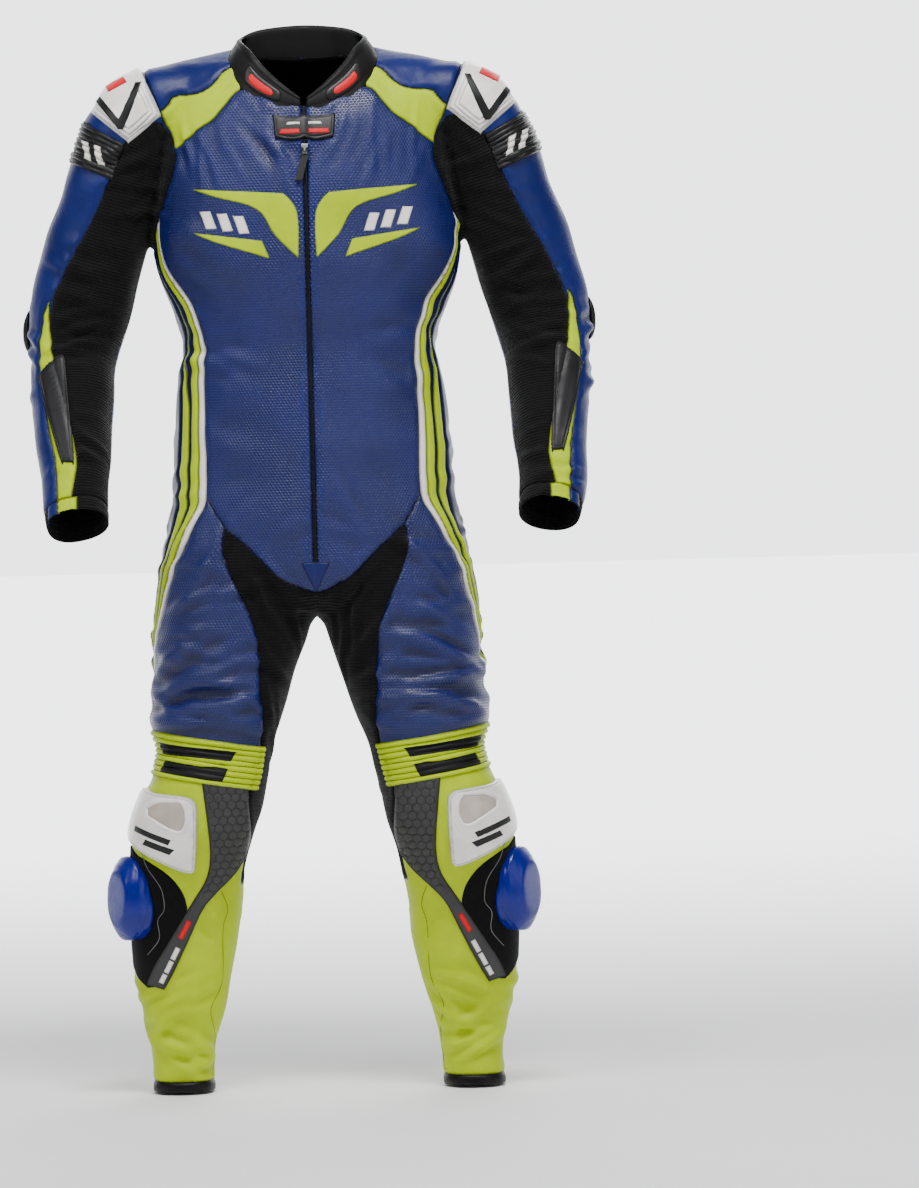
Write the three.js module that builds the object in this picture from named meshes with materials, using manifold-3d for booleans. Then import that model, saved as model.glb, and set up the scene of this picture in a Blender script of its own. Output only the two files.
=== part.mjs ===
// One-piece leather race suit, filled out as if worn, hollow, with open neck, cuffs and ankles.
// Millimetres, +Z up, the front faces -Y and +X is the wearer's left.
// Heights in the tables are above the ankle hem. The origin is between the shoulders,
// where a wearer holds the suit up.
import * as THREE from "three";
import { mergeVertices } from "three/addons/utils/BufferGeometryUtils.js";
import Module from "manifold-3d";

const wasm = await Module();
wasm.setup();

const wall = 2; // leather with its backing
const seamGap = 0.3;
const lift = 0.3; // clearance under what lies on a panel
const originHeight = 1385;
const far = 700; // beyond every part of the suit
const torsoSides = 16;
const armSides = 10;
const legSides = 12;

// Horizontal sections of the trunk, down the body.
const torsoSections = [
  { z: 1404, half: 84, front: 12, back: 26 },
  { z: 1397, half: 116, front: 24, back: 42 },
  { z: 1380, half: 194, front: 52, back: 71 },
  { z: 1350, half: 204, front: 81, back: 99 },
  { z: 1300, half: 202, front: 107, back: 120 },
  { z: 1240, half: 202, front: 124, back: 130 },
  { z: 1170, half: 207, front: 132, back: 129 },
  { z: 1110, half: 206, front: 130, back: 119 },
  { z: 1055, half: 186, front: 120, back: 107 },
  { z: 1000, half: 171, front: 112, back: 99 },
  { z: 945, half: 181, front: 110, back: 98 },
  { z: 870, half: 187, front: 112, back: 109 },
  { z: 800, half: 191, front: 113, back: 123 },
  { z: 735, half: 202, front: 111, back: 130 },
  { z: 690, half: 207, front: 102, back: 125 },
  { z: 653, half: 188, front: 78, back: 96 },
  { z: 637, half: 138, front: 46, back: 58 },
];

// Sections square to the arm's own line, from inside the shoulder to past the cuff.
const armSections = [
  { x: 150, y: 0, z: 1336, half: 42, depth: 60 },
  { x: 190, y: 0, z: 1329, half: 52, depth: 68 },
  { x: 223, y: 1, z: 1306, half: 61, depth: 72 },
  { x: 246, y: 3, z: 1262, half: 64, depth: 71 },
  { x: 268, y: 7, z: 1192, half: 65, depth: 69 },
  { x: 292, y: 12, z: 1118, half: 68, depth: 67 },
  { x: 311, y: 14, z: 1050, half: 67, depth: 64 },
  { x: 320, y: 1, z: 988, half: 59, depth: 57 },
  { x: 320, y: -30, z: 926, half: 54, depth: 53 },
  { x: 319, y: -72, z: 859, half: 49, depth: 48 },
  { x: 316, y: -113, z: 795, half: 43, depth: 43 },
  { x: 312, y: -133, z: 765, half: 41, depth: 41 },
  { x: 307, y: -154, z: 733, half: 41, depth: 41 },
];
const cuffRow = 11;
const cuffBox = { wide: 110, long: 120 }; // takes the sleeve past its end, and nothing else

// Horizontal sections of a leg, from inside the hips to past the hem.
const legSections = [
  { z: 800, x: 95, y: 0, half: 88, front: 88, back: 100 },
  { z: 725, x: 104, y: 0, half: 101, front: 102, back: 122 },
  { z: 660, x: 112, y: 0, half: 106, front: 102, back: 113 },
  { z: 600, x: 119, y: -3, half: 103, front: 97, back: 102 },
  { z: 540, x: 131, y: -9, half: 93, front: 92, back: 92 },
  { z: 493, x: 140, y: -16, half: 88, front: 89, back: 84 },
  { z: 460, x: 141, y: -20, half: 76, front: 76, back: 75 },
  { z: 432, x: 147, y: -22, half: 77, front: 79, back: 71 },
  { z: 403, x: 157, y: -22, half: 81, front: 83, back: 69 },
  { z: 365, x: 169, y: -20, half: 84, front: 85, back: 69 },
  { z: 318, x: 179, y: -12, half: 79, front: 79, back: 70 },
  { z: 262, x: 186, y: -2, half: 75, front: 71, back: 70 },
  { z: 200, x: 189, y: 7, half: 71, front: 65, back: 67 },
  { z: 140, x: 193, y: 10, half: 63, front: 58, back: 60 },
  { z: 88, x: 195, y: 10, half: 50, front: 50, back: 52 },
  { z: 34, x: 196, y: 10, half: 42, front: 45, back: 47 },
  { z: -30, x: 196, y: 10, half: 41, front: 44, back: 46 },
];

// The front edges of the white stripe, the yellow stripe and the side panel, and the side panel's back edge,
// in the side view.
const sideStripes = [
  { z: 1205, white: -34, yellow: -27, side: -9, end: 30 },
  { z: 1165, white: -42, yellow: -35, side: -14, end: 34 },
  { z: 1100, white: -60, yellow: -53, side: -30, end: 36 },
  { z: 1055, white: -71, yellow: -64, side: -38, end: 36 },
  { z: 985, white: -72, yellow: -65, side: -37, end: 36 },
  { z: 915, white: -76, yellow: -69, side: -40, end: 40 },
  { z: 850, white: -80, yellow: -73, side: -43, end: 46 },
  { z: 797, white: -81, yellow: -74, side: -45, end: 50 },
  { z: 740, white: -76, yellow: -68, side: -38, end: 52 },
  { z: 698, white: -65, yellow: -57, side: -28, end: 52 },
  { z: 657, white: -53, yellow: -44, side: -18, end: 48 },
  { z: 610, white: -39, yellow: -30, side: -8, end: 42 },
  { z: 560, white: -24, yellow: -15, side: 0, end: 34 },
  { z: 400, white: -18, yellow: -9, side: 3, end: 30 },
];

// Seams and outlines as seen from the front, for the wearer's left half.
const armholeSeam = [
  [214, 1420], [214, 1378], [203, 1345], [187, 1305], [176, 1274], [174, 1246], [184, 1214],
  [200, 1176], [206, 1145], [214, 1106], [214, 1060], [222, 900], [236, 700],
];
const yokeTop = [[40, 1400], [99, 1372], [124, 1348], [142, 1339], [172, 1335], [186, 1318], [230, 1290]];
const yokeBottom = [[230, 1240], [172, 1266], [140, 1290], [120, 1303], [105, 1321], [84, 1342], [40, 1352]];
const abdomenHem = [[-20, 670], [0, 668], [20, 674], [52, 693], [86, 726], [120, 757], [143, 795]];
const gussetSide = [
  [120, 757], [123, 727], [115, 698], [99, 662], [85, 628], [79, 596], [76, 560], [78, 530],
  [74, 500], [84, 440], [98, 400], [97, 352], [103, 320], [112, 280], [40, 240],
];
const kneeBack = [[-10, 500], [212, 500], [226, 420], [214, 300], [180, 246], [120, 240], [-10, 300]];
const shinTop = 440;
const hemBand = 14;
const waistSeam = 800;
const stretchPanel = [
  [174, 1246], [184, 1214], [200, 1176], [206, 1145], [214, 1100], [214, 1020], [262, 960], [263, 900],
  [269, 840], [272, 740], [322, 740], [320, 800], [312, 850], [322, 905], [343, 985], [349, 1028],
  [345, 1062], [327, 1103], [300, 1150], [282, 1182], [262, 1225], [246, 1262], [234, 1284],
  [212, 1298], [196, 1300], [183, 1290], [176, 1270],
];
const forearmStripe = [
  [349, 1066], [358, 1046], [363, 1010], [362, 970], [352, 905], [342, 850], [338, 780], [336, 730],
  [312, 730], [312, 790], [312, 850], [322, 905], [343, 985], [349, 1028],
];
const capSeam = [[140, 1200], [246, 1238], [335, 1285], [480, 1340]];
const forearmPlate = [
  [336, 994], [343, 990], [360, 968], [358, 960], [326, 848], [322, 846], [319, 852], [328, 962], [333, 990],
];
const shoulderCup = [
  [219, 1377], [236, 1372], [258, 1363], [274, 1345], [283, 1326], [284, 1318], [240, 1279], [232, 1277],
  [196, 1306], [192, 1314], [212, 1360],
];
const kneeCup = [
  [221, 404], [236, 410], [250, 400], [256, 374], [262, 348], [243, 324], [206, 304], [182, 294],
  [177, 296], [173, 382], [175, 396], [184, 400],
];
const slidePad = [
  [264, 344], [250, 324], [236, 316], [208, 297], [191, 276], [184, 256], [185, 240], [196, 205],
  [214, 168], [226, 144], [240, 142], [252, 154], [262, 176], [275, 220], [275, 330],
];
const kneePanel = [
  [163, 406], [106, 396], [104, 352], [110, 324], [124, 298], [150, 270], [166, 248], [184, 204],
  [206, 160], [218, 140], [240, 146], [230, 172], [191, 236], [176, 262], [160, 290], [155, 318],
  [157, 356],
];
const zipPatch = [[-19, 708], [19, 708], [0, 668]];

// The accordion bands lie on the limb: which stretch of its rows, how far round, and their ribs.
const armBand = { surface: "arm", from: 3.02, to: 3.9, near: -1, reach: 5, ribs: 8, ribHeight: 2.4 };
const kneeBand = { surface: "leg", from: 5.75, to: 7.75, near: -3, reach: 3.5, ribs: 7, ribHeight: 3 };

// The collar's seam to the body and its top edge, from the front to the back, on the wearer's left.
// lean is how far the top stands behind the seam, and behind is 1 where the seam is on the back.
const collarStations = [
  { baseX: 2, baseZ: 1313, topX: 3, topZ: 1325, lean: 1, behind: 0 },
  { baseX: 33, baseZ: 1317, topX: 27, topZ: 1343, lean: 4, behind: 0 },
  { baseX: 64, baseZ: 1329, topX: 52, topZ: 1367, lean: 6, behind: 0 },
  { baseX: 84, baseZ: 1351, topX: 70, topZ: 1391, lean: 6, behind: 0 },
  { baseX: 98, baseZ: 1384, topX: 83, topZ: 1408, lean: 4, behind: 0 },
  { baseX: 92, baseZ: 1397, topX: 81, topZ: 1419, lean: 0, behind: 1 },
  { baseX: 62, baseZ: 1394, topX: 57, topZ: 1429, lean: -3, behind: 1 },
  { baseX: 0, baseZ: 1392, topX: 0, topZ: 1434, lean: -4, behind: 1 },
];
const collarWall = 4;
const zipWidth = 5;
const zipTop = 1330;
const zipEnd = 705;
const pull = { pivotZ: 1257, barRadius: 1.1, thick: 2.2, wide: 9, long: 44, lean: 9, offChest: 4 };

const mix = (a, b, t) => a + (b - a) * t;
const v3 = (x, y, z) => new THREE.Vector3(x, y, z);

// A value from a table whose z falls from row to row.
function valueAt(table, z, key) {
  if (z >= table[0].z) return table[0][key];
  for (let i = 1; i < table.length; i++)
    if (z >= table[i].z) {
      const [low, high] = [table[i], table[i - 1]];
      return mix(low[key], high[key], (z - low.z) / (high.z - low.z));
    }
  return table.at(-1)[key];
}

const roundness = 2.25; // 2 is an ellipse, more is squarer
const bulge = (c) => Math.sign(c) * Math.abs(c) ** (2 / roundness);

// Points on each surface: row i of its table, and an angle that runs from the front towards the wearer's left.
function torsoPoint(i, angle) {
  const { half, front, back, z } = torsoSections[i];
  const depth = Math.cos(angle) > 0 ? front : back;
  return v3(half * bulge(Math.sin(angle)), -depth * bulge(Math.cos(angle)), z);
}
function legPoint(i, angle) {
  const { x, y, half, front, back, z } = legSections[i];
  const depth = Math.cos(angle) > 0 ? front : back;
  return v3(x + half * bulge(Math.sin(angle)), y - depth * bulge(Math.cos(angle)), z);
}
const armCentre = (i) => v3(armSections[i].x, armSections[i].y, armSections[i].z);
function armFrame(i) {
  const last = armSections.length - 1;
  const along = armCentre(Math.min(last, i + 1)).sub(armCentre(Math.max(0, i - 1))).normalize();
  const out = along.clone().cross(v3(0, 1, 0)).normalize();
  return { along, out, forward: along.clone().cross(out) };
}
function armPoint(i, angle) {
  const { half, depth } = armSections[i];
  const { out, forward } = armFrame(i);
  return armCentre(i)
    .addScaledVector(out, half * bulge(Math.sin(angle)))
    .addScaledVector(forward, depth * bulge(Math.cos(angle)));
}
const surfaces = {
  torso: { point: torsoPoint, rows: torsoSections.length, sides: torsoSides },
  arm: { point: armPoint, rows: armSections.length, sides: armSides },
  leg: { point: legPoint, rows: legSections.length, sides: legSides },
};
// A point on a surface's facets: s counts rows and k counts sides.
function facetPoint({ point, sides }, s, k) {
  const i = Math.floor(s);
  const j = Math.floor(k);
  const corner = (a, b) => point(a, (b / sides) * 2 * Math.PI);
  const edge = (a) => corner(a, j).lerp(corner(a, j + 1), k - j);
  return edge(i).lerp(edge(i + 1), s - i);
}

function geometryOf(points, faces) {
  const geometry = new THREE.BufferGeometry().setFromPoints(points);
  geometry.setIndex(faces.flat());
  return geometry;
}

function solidOf(geometry) {
  const bare = new THREE.BufferGeometry().setAttribute("position", geometry.getAttribute("position"));
  bare.setIndex(geometry.getIndex());
  const merged = mergeVertices(bare, 1e-4);
  const vertProperties = new Float32Array(merged.attributes.position.array);
  const triVerts = new Uint32Array(merged.index.array);
  return new wasm.Manifold(new wasm.Mesh({ numProp: 3, vertProperties, triVerts }));
}

// A solid with its faces turned outwards.
function closedSolid(points, faces) {
  const solid = solidOf(geometryOf(points, faces));
  return solid.volume() < 0 ? solidOf(geometryOf(points, faces.map((f) => f.toReversed()))) : solid;
}

// A filled tube through the rings of a surface, moved out along its normals.
function tubeSolid({ point, rows, sides }, moved) {
  const points = [];
  const faces = [];
  for (let i = 0; i < rows; i++)
    for (let k = 0; k < sides; k++) points.push(point(i, (k / sides) * 2 * Math.PI));
  const middle = (ring) => {
    const some = points.slice(ring * sides, (ring + 1) * sides);
    return some.reduce((sum, p) => sum.add(p), v3(0, 0, 0)).divideScalar(sides);
  };
  const [first, last] = [middle(0), middle(rows - 1)];
  points.push(first, last);
  const at = (i, k) => i * sides + (k % sides);
  for (let k = 0; k < sides; k++) {
    for (let i = 0; i < rows - 1; i++) {
      faces.push([at(i, k), at(i + 1, k), at(i + 1, k + 1)], [at(i, k), at(i + 1, k + 1), at(i, k + 1)]);
    }
    faces.push([points.length - 2, at(0, k), at(0, k + 1)]);
    faces.push([points.length - 1, at(rows - 1, k + 1), at(rows - 1, k)]);
  }
  const geometry = geometryOf(points, faces);
  geometry.computeVertexNormals();
  const normals = geometry.getAttribute("normal");
  points.forEach((p, i) => p.addScaledVector(v3().fromBufferAttribute(normals, i), moved));
  return closedSolid(points, faces);
}

const mirrored = (solid) => solid.mirror([1, 0, 0]);
const bothSides = (solid) => solid.add(mirrored(solid));

// The whole filled form at a distance from the skin, outside it or inside.
const forms = new Map();
function formAt(moved) {
  if (!forms.has(moved)) {
    const limbs = bothSides(tubeSolid(surfaces.arm, moved).add(tubeSolid(surfaces.leg, moved)));
    forms.set(moved, tubeSolid(surfaces.torso, moved).add(limbs));
  }
  return forms.get(moved);
}

// An outline moved outwards.
function grown(points, by) {
  const area = points.reduce((sum, [x, z], i) => {
    const [nx, nz] = points[(i + 1) % points.length];
    return sum + x * nz - nx * z;
  }, 0);
  const out = by * Math.sign(area);
  return points.map(([x, z], i) => {
    const [px, pz] = points.at(i - 1);
    const [nx, nz] = points[(i + 1) % points.length];
    const [a, b] = [v3(x - px, z - pz, 0).normalize(), v3(nx - x, nz - z, 0).normalize()];
    const side = v3(a.y + b.y, -a.x - b.x, 0).normalize();
    const miter = Math.min(2, 1 / Math.max(0.3, side.dot(v3(b.y, -b.x, 0))));
    return [x + side.x * out * miter, z + side.y * out * miter];
  });
}
function shapeOf(points) {
  return new THREE.Shape(points.map(([x, z]) => new THREE.Vector2(x, z)));
}
// A front outline (x, z) pushed through the suit from y = from to y = to.
function frontPrism(points, from = -far, to = far) {
  const geometry = new THREE.ExtrudeGeometry(shapeOf(points), { depth: to - from, bevelEnabled: false });
  return solidOf(geometry.rotateX(Math.PI / 2).translate(0, to, 0));
}
// A side outline (y, z) pushed through from x = from to x = to.
function sidePrism(points, from = 0, to = far) {
  const geometry = new THREE.ExtrudeGeometry(shapeOf(points), { depth: to - from, bevelEnabled: false });
  const turn = new THREE.Matrix4().makeBasis(v3(0, 1, 0), v3(0, 0, 1), v3(1, 0, 0));
  return solidOf(geometry.applyMatrix4(turn).translate(from, 0, 0));
}
const slab = (low, high) => frontPrism([[-far, low], [far, low], [far, high], [-far, high]]);

// What lies in front of the middle of the arm, leg or trunk.
const frontOf = (line) => [[-far, line[0][1]], ...line, [-far, line.at(-1)[1]]];
const armMiddle = [[0, 1500], [0, 1320], ...armSections.slice(4).map((r) => [r.y, r.z]), [-170, 700]];
const legMiddle = [[0, 1500], ...legSections.slice(2).map((r) => [r.y, r.z]), [10, -80]];
const armFront = sidePrism(frontOf(armMiddle), -far);
const legFront = sidePrism(frontOf(legMiddle), -far);

// A band between two columns of the side stripes' table.
const sideBand = (from, to, extra) => [
  ...sideStripes.map((row) => [row[from] - extra, row.z]),
  ...sideStripes.map((row) => [row[to] + extra, row.z]).reverse(),
];

// The collar's seam lies on the trunk's skin.
function trunkDepth(x, z, behind) {
  const half = valueAt(torsoSections, z, "half");
  const depth = valueAt(torsoSections, z, behind ? "back" : "front");
  return (behind ? 1 : -1) * depth * (1 - Math.min(1, Math.abs(x) / half) ** roundness) ** (1 / roundness);
}
const collarHalf = collarStations.map((c) => {
  const y = trunkDepth(c.baseX, c.baseZ, c.behind);
  return { base: v3(c.baseX, y, c.baseZ), top: v3(c.topX, y + c.lean, c.topZ) };
});
const acrossMiddle = (station) => ({
  base: station.base.clone().setX(-station.base.x),
  top: station.top.clone().setX(-station.top.x),
});
const neckMiddle = v3(0, -20, 1365);
const neckAxis = v3(0, -0.42, 0.91);

// The open suit: the form less its inside, trimmed at neck, cuffs and ankles.
function neckPlug(inset) {
  const loop = [...collarHalf, ...collarHalf.slice(0, -1).reverse().map(acrossMiddle)].map(({ base }) => {
    const inward = neckMiddle.clone().sub(base).projectOnPlane(neckAxis).setLength(inset);
    return base.clone().add(inward);
  });
  const count = loop.length;
  const ends = [-70, 90];
  const points = ends.flatMap((along) => loop.map((p) => p.clone().addScaledVector(neckAxis, along)));
  points.push(...ends.map((along) => neckMiddle.clone().addScaledVector(neckAxis, along)));
  const faces = loop.flatMap((_, k) => {
    const n = (k + 1) % count;
    return [
      [k, n, count + n], [k, count + n, count + k], [2 * count, n, k], [2 * count + 1, count + k, count + n],
    ];
  });
  return closedSolid(points, faces);
}
// Everything beyond a plane square to the arm, a distance back from the cuff's end.
function pastCuff(back) {
  const { along, out, forward } = armFrame(cuffRow);
  const centre = armCentre(cuffRow).addScaledVector(along, -back);
  const box = new THREE.BoxGeometry(cuffBox.wide, cuffBox.wide, cuffBox.long);
  box.applyMatrix4(new THREE.Matrix4().makeBasis(forward, out, along.clone().negate()));
  return solidOf(box.translate(...centre.addScaledVector(along, cuffBox.long / 2).toArray()));
}
const neckHole = neckPlug(2);
const cuffEnds = bothSides(pastCuff(0));
function layer(inside, outside) {
  return formAt(outside).subtract(formAt(inside)).subtract(cuffEnds).subtract(slab(-far, 0)).subtract(neckHole);
}

const meshes = [];
const tidyWithin = 0.13; // less than half a seam's gap
const colours = {
  blue: 0x1f4fae, blueSmooth: 0x2450b0, yellow: 0xc6ea10, white: 0xf2efe8, navy: 0x1c2450, black: 0x0c0c0d,
  stretch: 0x101012, grey: 0x4a4c50, plate: 0x222325, plastic: 0x1838c8, metal: 0x9a9aa0,
};
const finishes = { stretch: 0.95, plastic: 0.15, white: 0.35, metal: 0.35, plate: 0.5 };
function addMesh(name, solid, colour) {
  const bodies = solid.simplify(tidyWithin).decompose();
  const made = bodies.sort((a, b) => b.volume() - a.volume())[0].getMesh();
  const geometry = new THREE.BufferGeometry();
  geometry.setAttribute("position", new THREE.BufferAttribute(new Float32Array(made.vertProperties), 3));
  geometry.setIndex(new THREE.BufferAttribute(new Uint32Array(made.triVerts), 1));
  const material = new THREE.MeshStandardMaterial({
    color: colours[colour],
    roughness: finishes[colour] ?? 0.55,
    metalness: colour === "metal" ? 0.9 : 0,
  });
  const mesh = new THREE.Mesh(geometry, material);
  mesh.name = name;
  meshes.push(mesh);
}
function addPair(name, solid, colour) {
  addMesh(name + "_left", solid, colour);
  addMesh(name + "_right", mirrored(solid), colour);
}

const leftHalf = frontPrism([[0, -100], [far, -100], [far, 1500], [0, 1500]]);
const skin = layer(-wall, 0);
const zipSlot = frontPrism(
  [[-zipWidth / 2, zipEnd], [zipWidth / 2, zipEnd], [zipWidth / 2, zipTop], [-zipWidth / 2, zipTop]], -far, 0,
);
const zipTape = frontPrism(
  [
    [-zipWidth / 2 + seamGap, zipEnd + seamGap], [zipWidth / 2 - seamGap, zipEnd + seamGap],
    [zipWidth / 2 - seamGap, zipTop], [-zipWidth / 2 + seamGap, zipTop],
  ], -far, 0,
);
addMesh("zip", skin.intersect(zipTape), "black");

// Panels are cut out of the wall one after another, each with its seam gap.
let rest = skin.subtract(zipSlot).intersect(leftHalf.translate([seamGap / 2, 0, 0]));
// Takes the cutter's share of a body of cloth, and leaves the rest with a gap round it.
function carve(cutterAt) {
  const piece = rest.intersect(cutterAt(0));
  rest = rest.subtract(cutterAt(seamGap));
  return piece;
}
const carveFront = (points, half = null) => (extra) => {
  const prism = frontPrism(extra ? grown(points, extra) : points);
  return half ? prism.intersect(extra ? half.translate([0, extra, 0]) : half) : prism;
};

// Sleeve
const sleeveOutline = [...armholeSeam, [far, 700], [far, 1420]];
const trunk = rest;
const cuffBand = 20;
rest = trunk.intersect(frontPrism(grown(sleeveOutline, -seamGap / 2)));
const body = trunk.subtract(frontPrism(grown(sleeveOutline, seamGap / 2)));
addPair("cuff", carve((extra) => pastCuff(cuffBand + extra)), "black");
addPair("sleeve_stretch", carve(carveFront(stretchPanel, armFront)), "stretch");
addPair("forearm_stripe", carve(carveFront(forearmStripe, armFront)), "yellow");
const capOutline = [...capSeam, [far, 1500], [100, 1500]];
addPair("sleeve_cap", carve(carveFront(capOutline)), "blueSmooth");
addPair("sleeve_outer", rest, "blueSmooth");

// Trunk and legs
rest = body;
addPair("ankle_hem", carve((extra) => slab(-far, hemBand + extra)), "black");
const gussetOutline = [...abdomenHem.slice(0, -1), ...gussetSide, [-20, 240]];
const behindKnee = (extra) => frontPrism(grown(kneeBack, extra)).subtract(legFront.translate([0, -extra, 0]));
const innerLeg = (extra) => frontPrism(grown(gussetOutline, extra)).add(behindKnee(extra));
addPair("inner_leg", carve(innerLeg), "stretch");
addPair("shin", carve((extra) => slab(-far, shinTop + extra)), "yellow");
const sideCut = (from, to) => (extra) => sidePrism(sideBand(from, to, extra), 90);
addPair("stripe_white", carve(sideCut("white", "yellow")), "white");
addPair("stripe_yellow", carve(sideCut("yellow", "side")), "yellow");
addPair("side_panel", carve(sideCut("side", "end")), "navy");
const yokeOutline = [...yokeTop, ...yokeBottom];
const trunkFront = sidePrism(frontOf([[0, 1500], [0, -80]]), -far);
addPair("yoke", carve(carveFront(yokeOutline, trunkFront)), "yellow");
const shoulderOutline = [...yokeTop, [230, 1450], [-10, 1450], [-10, 1400]];
addPair("shoulder", carve(carveFront(shoulderOutline)), "blueSmooth");
const thighOutline = [
  [120, 757], [143, 795], [170, 830], [400, 830], [400, 300], [20, 300], [60, 697], [86, 726],
];
const thighBehind = 20; // as far as the side panel
const thighCut = (extra) =>
  frontPrism(grown(thighOutline, extra)).intersect(legFront.translate([0, thighBehind + extra, 0]));
addPair("thigh", carve(thighCut), "blue");
addPair("front", carve((extra) => trunkFront.translate([0, extra, 0])), "blue");
addPair("seat", carve((extra) => slab(-far, waistSeam + extra)), "blueSmooth");
addPair("back", rest, "blueSmooth");

// Pieces that lie on the panels
const onSkin = (outline, thick, half) =>
  layer(lift, lift + thick).intersect(leftHalf).intersect(frontPrism(outline)).intersect(half);
const cupBehind = 45; // how far the shoulder cup reaches behind the arm's middle
const padBehind = 34; // and the slider's pad behind the leg's
addPair("forearm_plate", onSkin(forearmPlate, 3, armFront), "plate");
addPair("shoulder_cup", onSkin(shoulderCup, 7, armFront.translate([0, cupBehind, 0])), "white");
addPair("knee_cup", onSkin(kneeCup, 7, legFront), "white");
addPair("knee_panel", onSkin(kneePanel, 2.4, legFront), "grey");
const padRoom = frontPrism(grown(kneePanel, seamGap)).add(frontPrism(grown(kneeCup, seamGap)));
addPair("slide_pad", onSkin(slidePad, 2, legFront.translate([0, padBehind, 0])).subtract(padRoom), "stretch");

const underBand = 0.9; // clear of the panel's facets
const shallow = 1; // the leather between two ribs
// A strip of accordion leather: ribs raised in its outer points over a plain inside.
function ribbedBand(band) {
  const surface = surfaces[band.surface];
  const rows = band.ribs * 2;
  const columns = Math.ceil(band.reach - band.near);
  const points = [];
  const faces = [];
  const at = (side, i, j) => (side * (rows + 1) + i) * (columns + 1) + j;
  for (const outer of [0, 1])
    for (let i = 0; i <= rows; i++)
      for (let j = 0; j <= columns; j++) {
        const s = mix(band.from, band.to, i / rows);
        const k = Math.min(band.near + j, band.reach) + surface.sides;
        const p = facetPoint(surface, s, k);
        const across = facetPoint(surface, s, k + 0.5).sub(facetPoint(surface, s, k - 0.5));
        const along = facetPoint(surface, s + 0.5, k).sub(facetPoint(surface, s - 0.5, k));
        const rise = i % 2 ? band.ribHeight : shallow;
        points.push(p.addScaledVector(along.cross(across).normalize(), underBand + outer * rise));
      }
  const quad = (a, b, c, d) => faces.push([a, b, c], [a, c, d]);
  for (let i = 0; i < rows; i++)
    for (let j = 0; j < columns; j++) {
      quad(at(1, i, j), at(1, i, j + 1), at(1, i + 1, j + 1), at(1, i + 1, j));
      quad(at(0, i, j), at(0, i + 1, j), at(0, i + 1, j + 1), at(0, i, j + 1));
    }
  for (let i = 0; i < rows; i++) {
    quad(at(0, i, 0), at(1, i, 0), at(1, i + 1, 0), at(0, i + 1, 0));
    quad(at(1, i, columns), at(0, i, columns), at(0, i + 1, columns), at(1, i + 1, columns));
  }
  for (let j = 0; j < columns; j++) {
    quad(at(1, 0, j), at(0, 0, j), at(0, 0, j + 1), at(1, 0, j + 1));
    quad(at(0, rows, j), at(1, rows, j), at(1, rows, j + 1), at(0, rows, j + 1));
  }
  return closedSolid(points, faces);
}
addPair("sleeve_accordion", ribbedBand(armBand), "black");
addPair("knee_accordion", ribbedBand(kneeBand), "yellow");

// Hard pucks on the knees' outer sides, seated on the pad, and smaller ones on the elbows.
// profile: how far out of the limb, and the share of the plan's size there.
function puck({ centre, facing, up, plan, height, root, under }) {
  const [wide, tall] = plan;
  const profile = [[-root, 1], [0.35 * height, 1], [0.72 * height, 0.86], [height, 0.5]];
  const sides = 10;
  const axis = v3(...facing).normalize();
  const upward = v3(...up).addScaledVector(axis, -v3(...up).dot(axis)).normalize();
  const across = upward.clone().cross(axis);
  const points = profile.flatMap(([rise, share]) =>
    Array.from({ length: sides }, (_, k) => {
      const a = ((k + 0.5) / sides) * 2 * Math.PI;
      return v3(...centre)
        .addScaledVector(axis, rise)
        .addScaledVector(across, wide * share * bulge(Math.cos(a)))
        .addScaledVector(upward, tall * share * bulge(Math.sin(a)));
    }),
  );
  points.push(v3(...centre).addScaledVector(axis, -root), v3(...centre).addScaledVector(axis, height));
  const faces = [];
  const last = profile.length - 1;
  for (let k = 0; k < sides; k++) {
    const n = (k + 1) % sides;
    for (let i = 0; i < last; i++) {
      const [low, high] = [i * sides, (i + 1) * sides];
      faces.push([low + k, low + n, high + n], [low + k, high + n, high + k]);
    }
    faces.push([points.length - 2, n, k], [points.length - 1, last * sides + k, last * sides + n]);
  }
  return closedSolid(points, faces).subtract(formAt(under));
}
const kneeSlider = {
  centre: [250, -34, 263], facing: [0.86, -0.5, 0.04], up: [0.05, 0, 1],
  plan: [42, 58], height: 32, root: 14, under: 2.6,
};
addPair("knee_slider", puck(kneeSlider), "plastic");
const elbowSlider = {
  centre: [374, 34, 1016], facing: [0.72, 0.68, 0.05], up: [0, 0, 1],
  plan: [30, 46], height: 12, root: 14, under: lift,
};
addPair("elbow_slider", puck(elbowSlider), "black");

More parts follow.
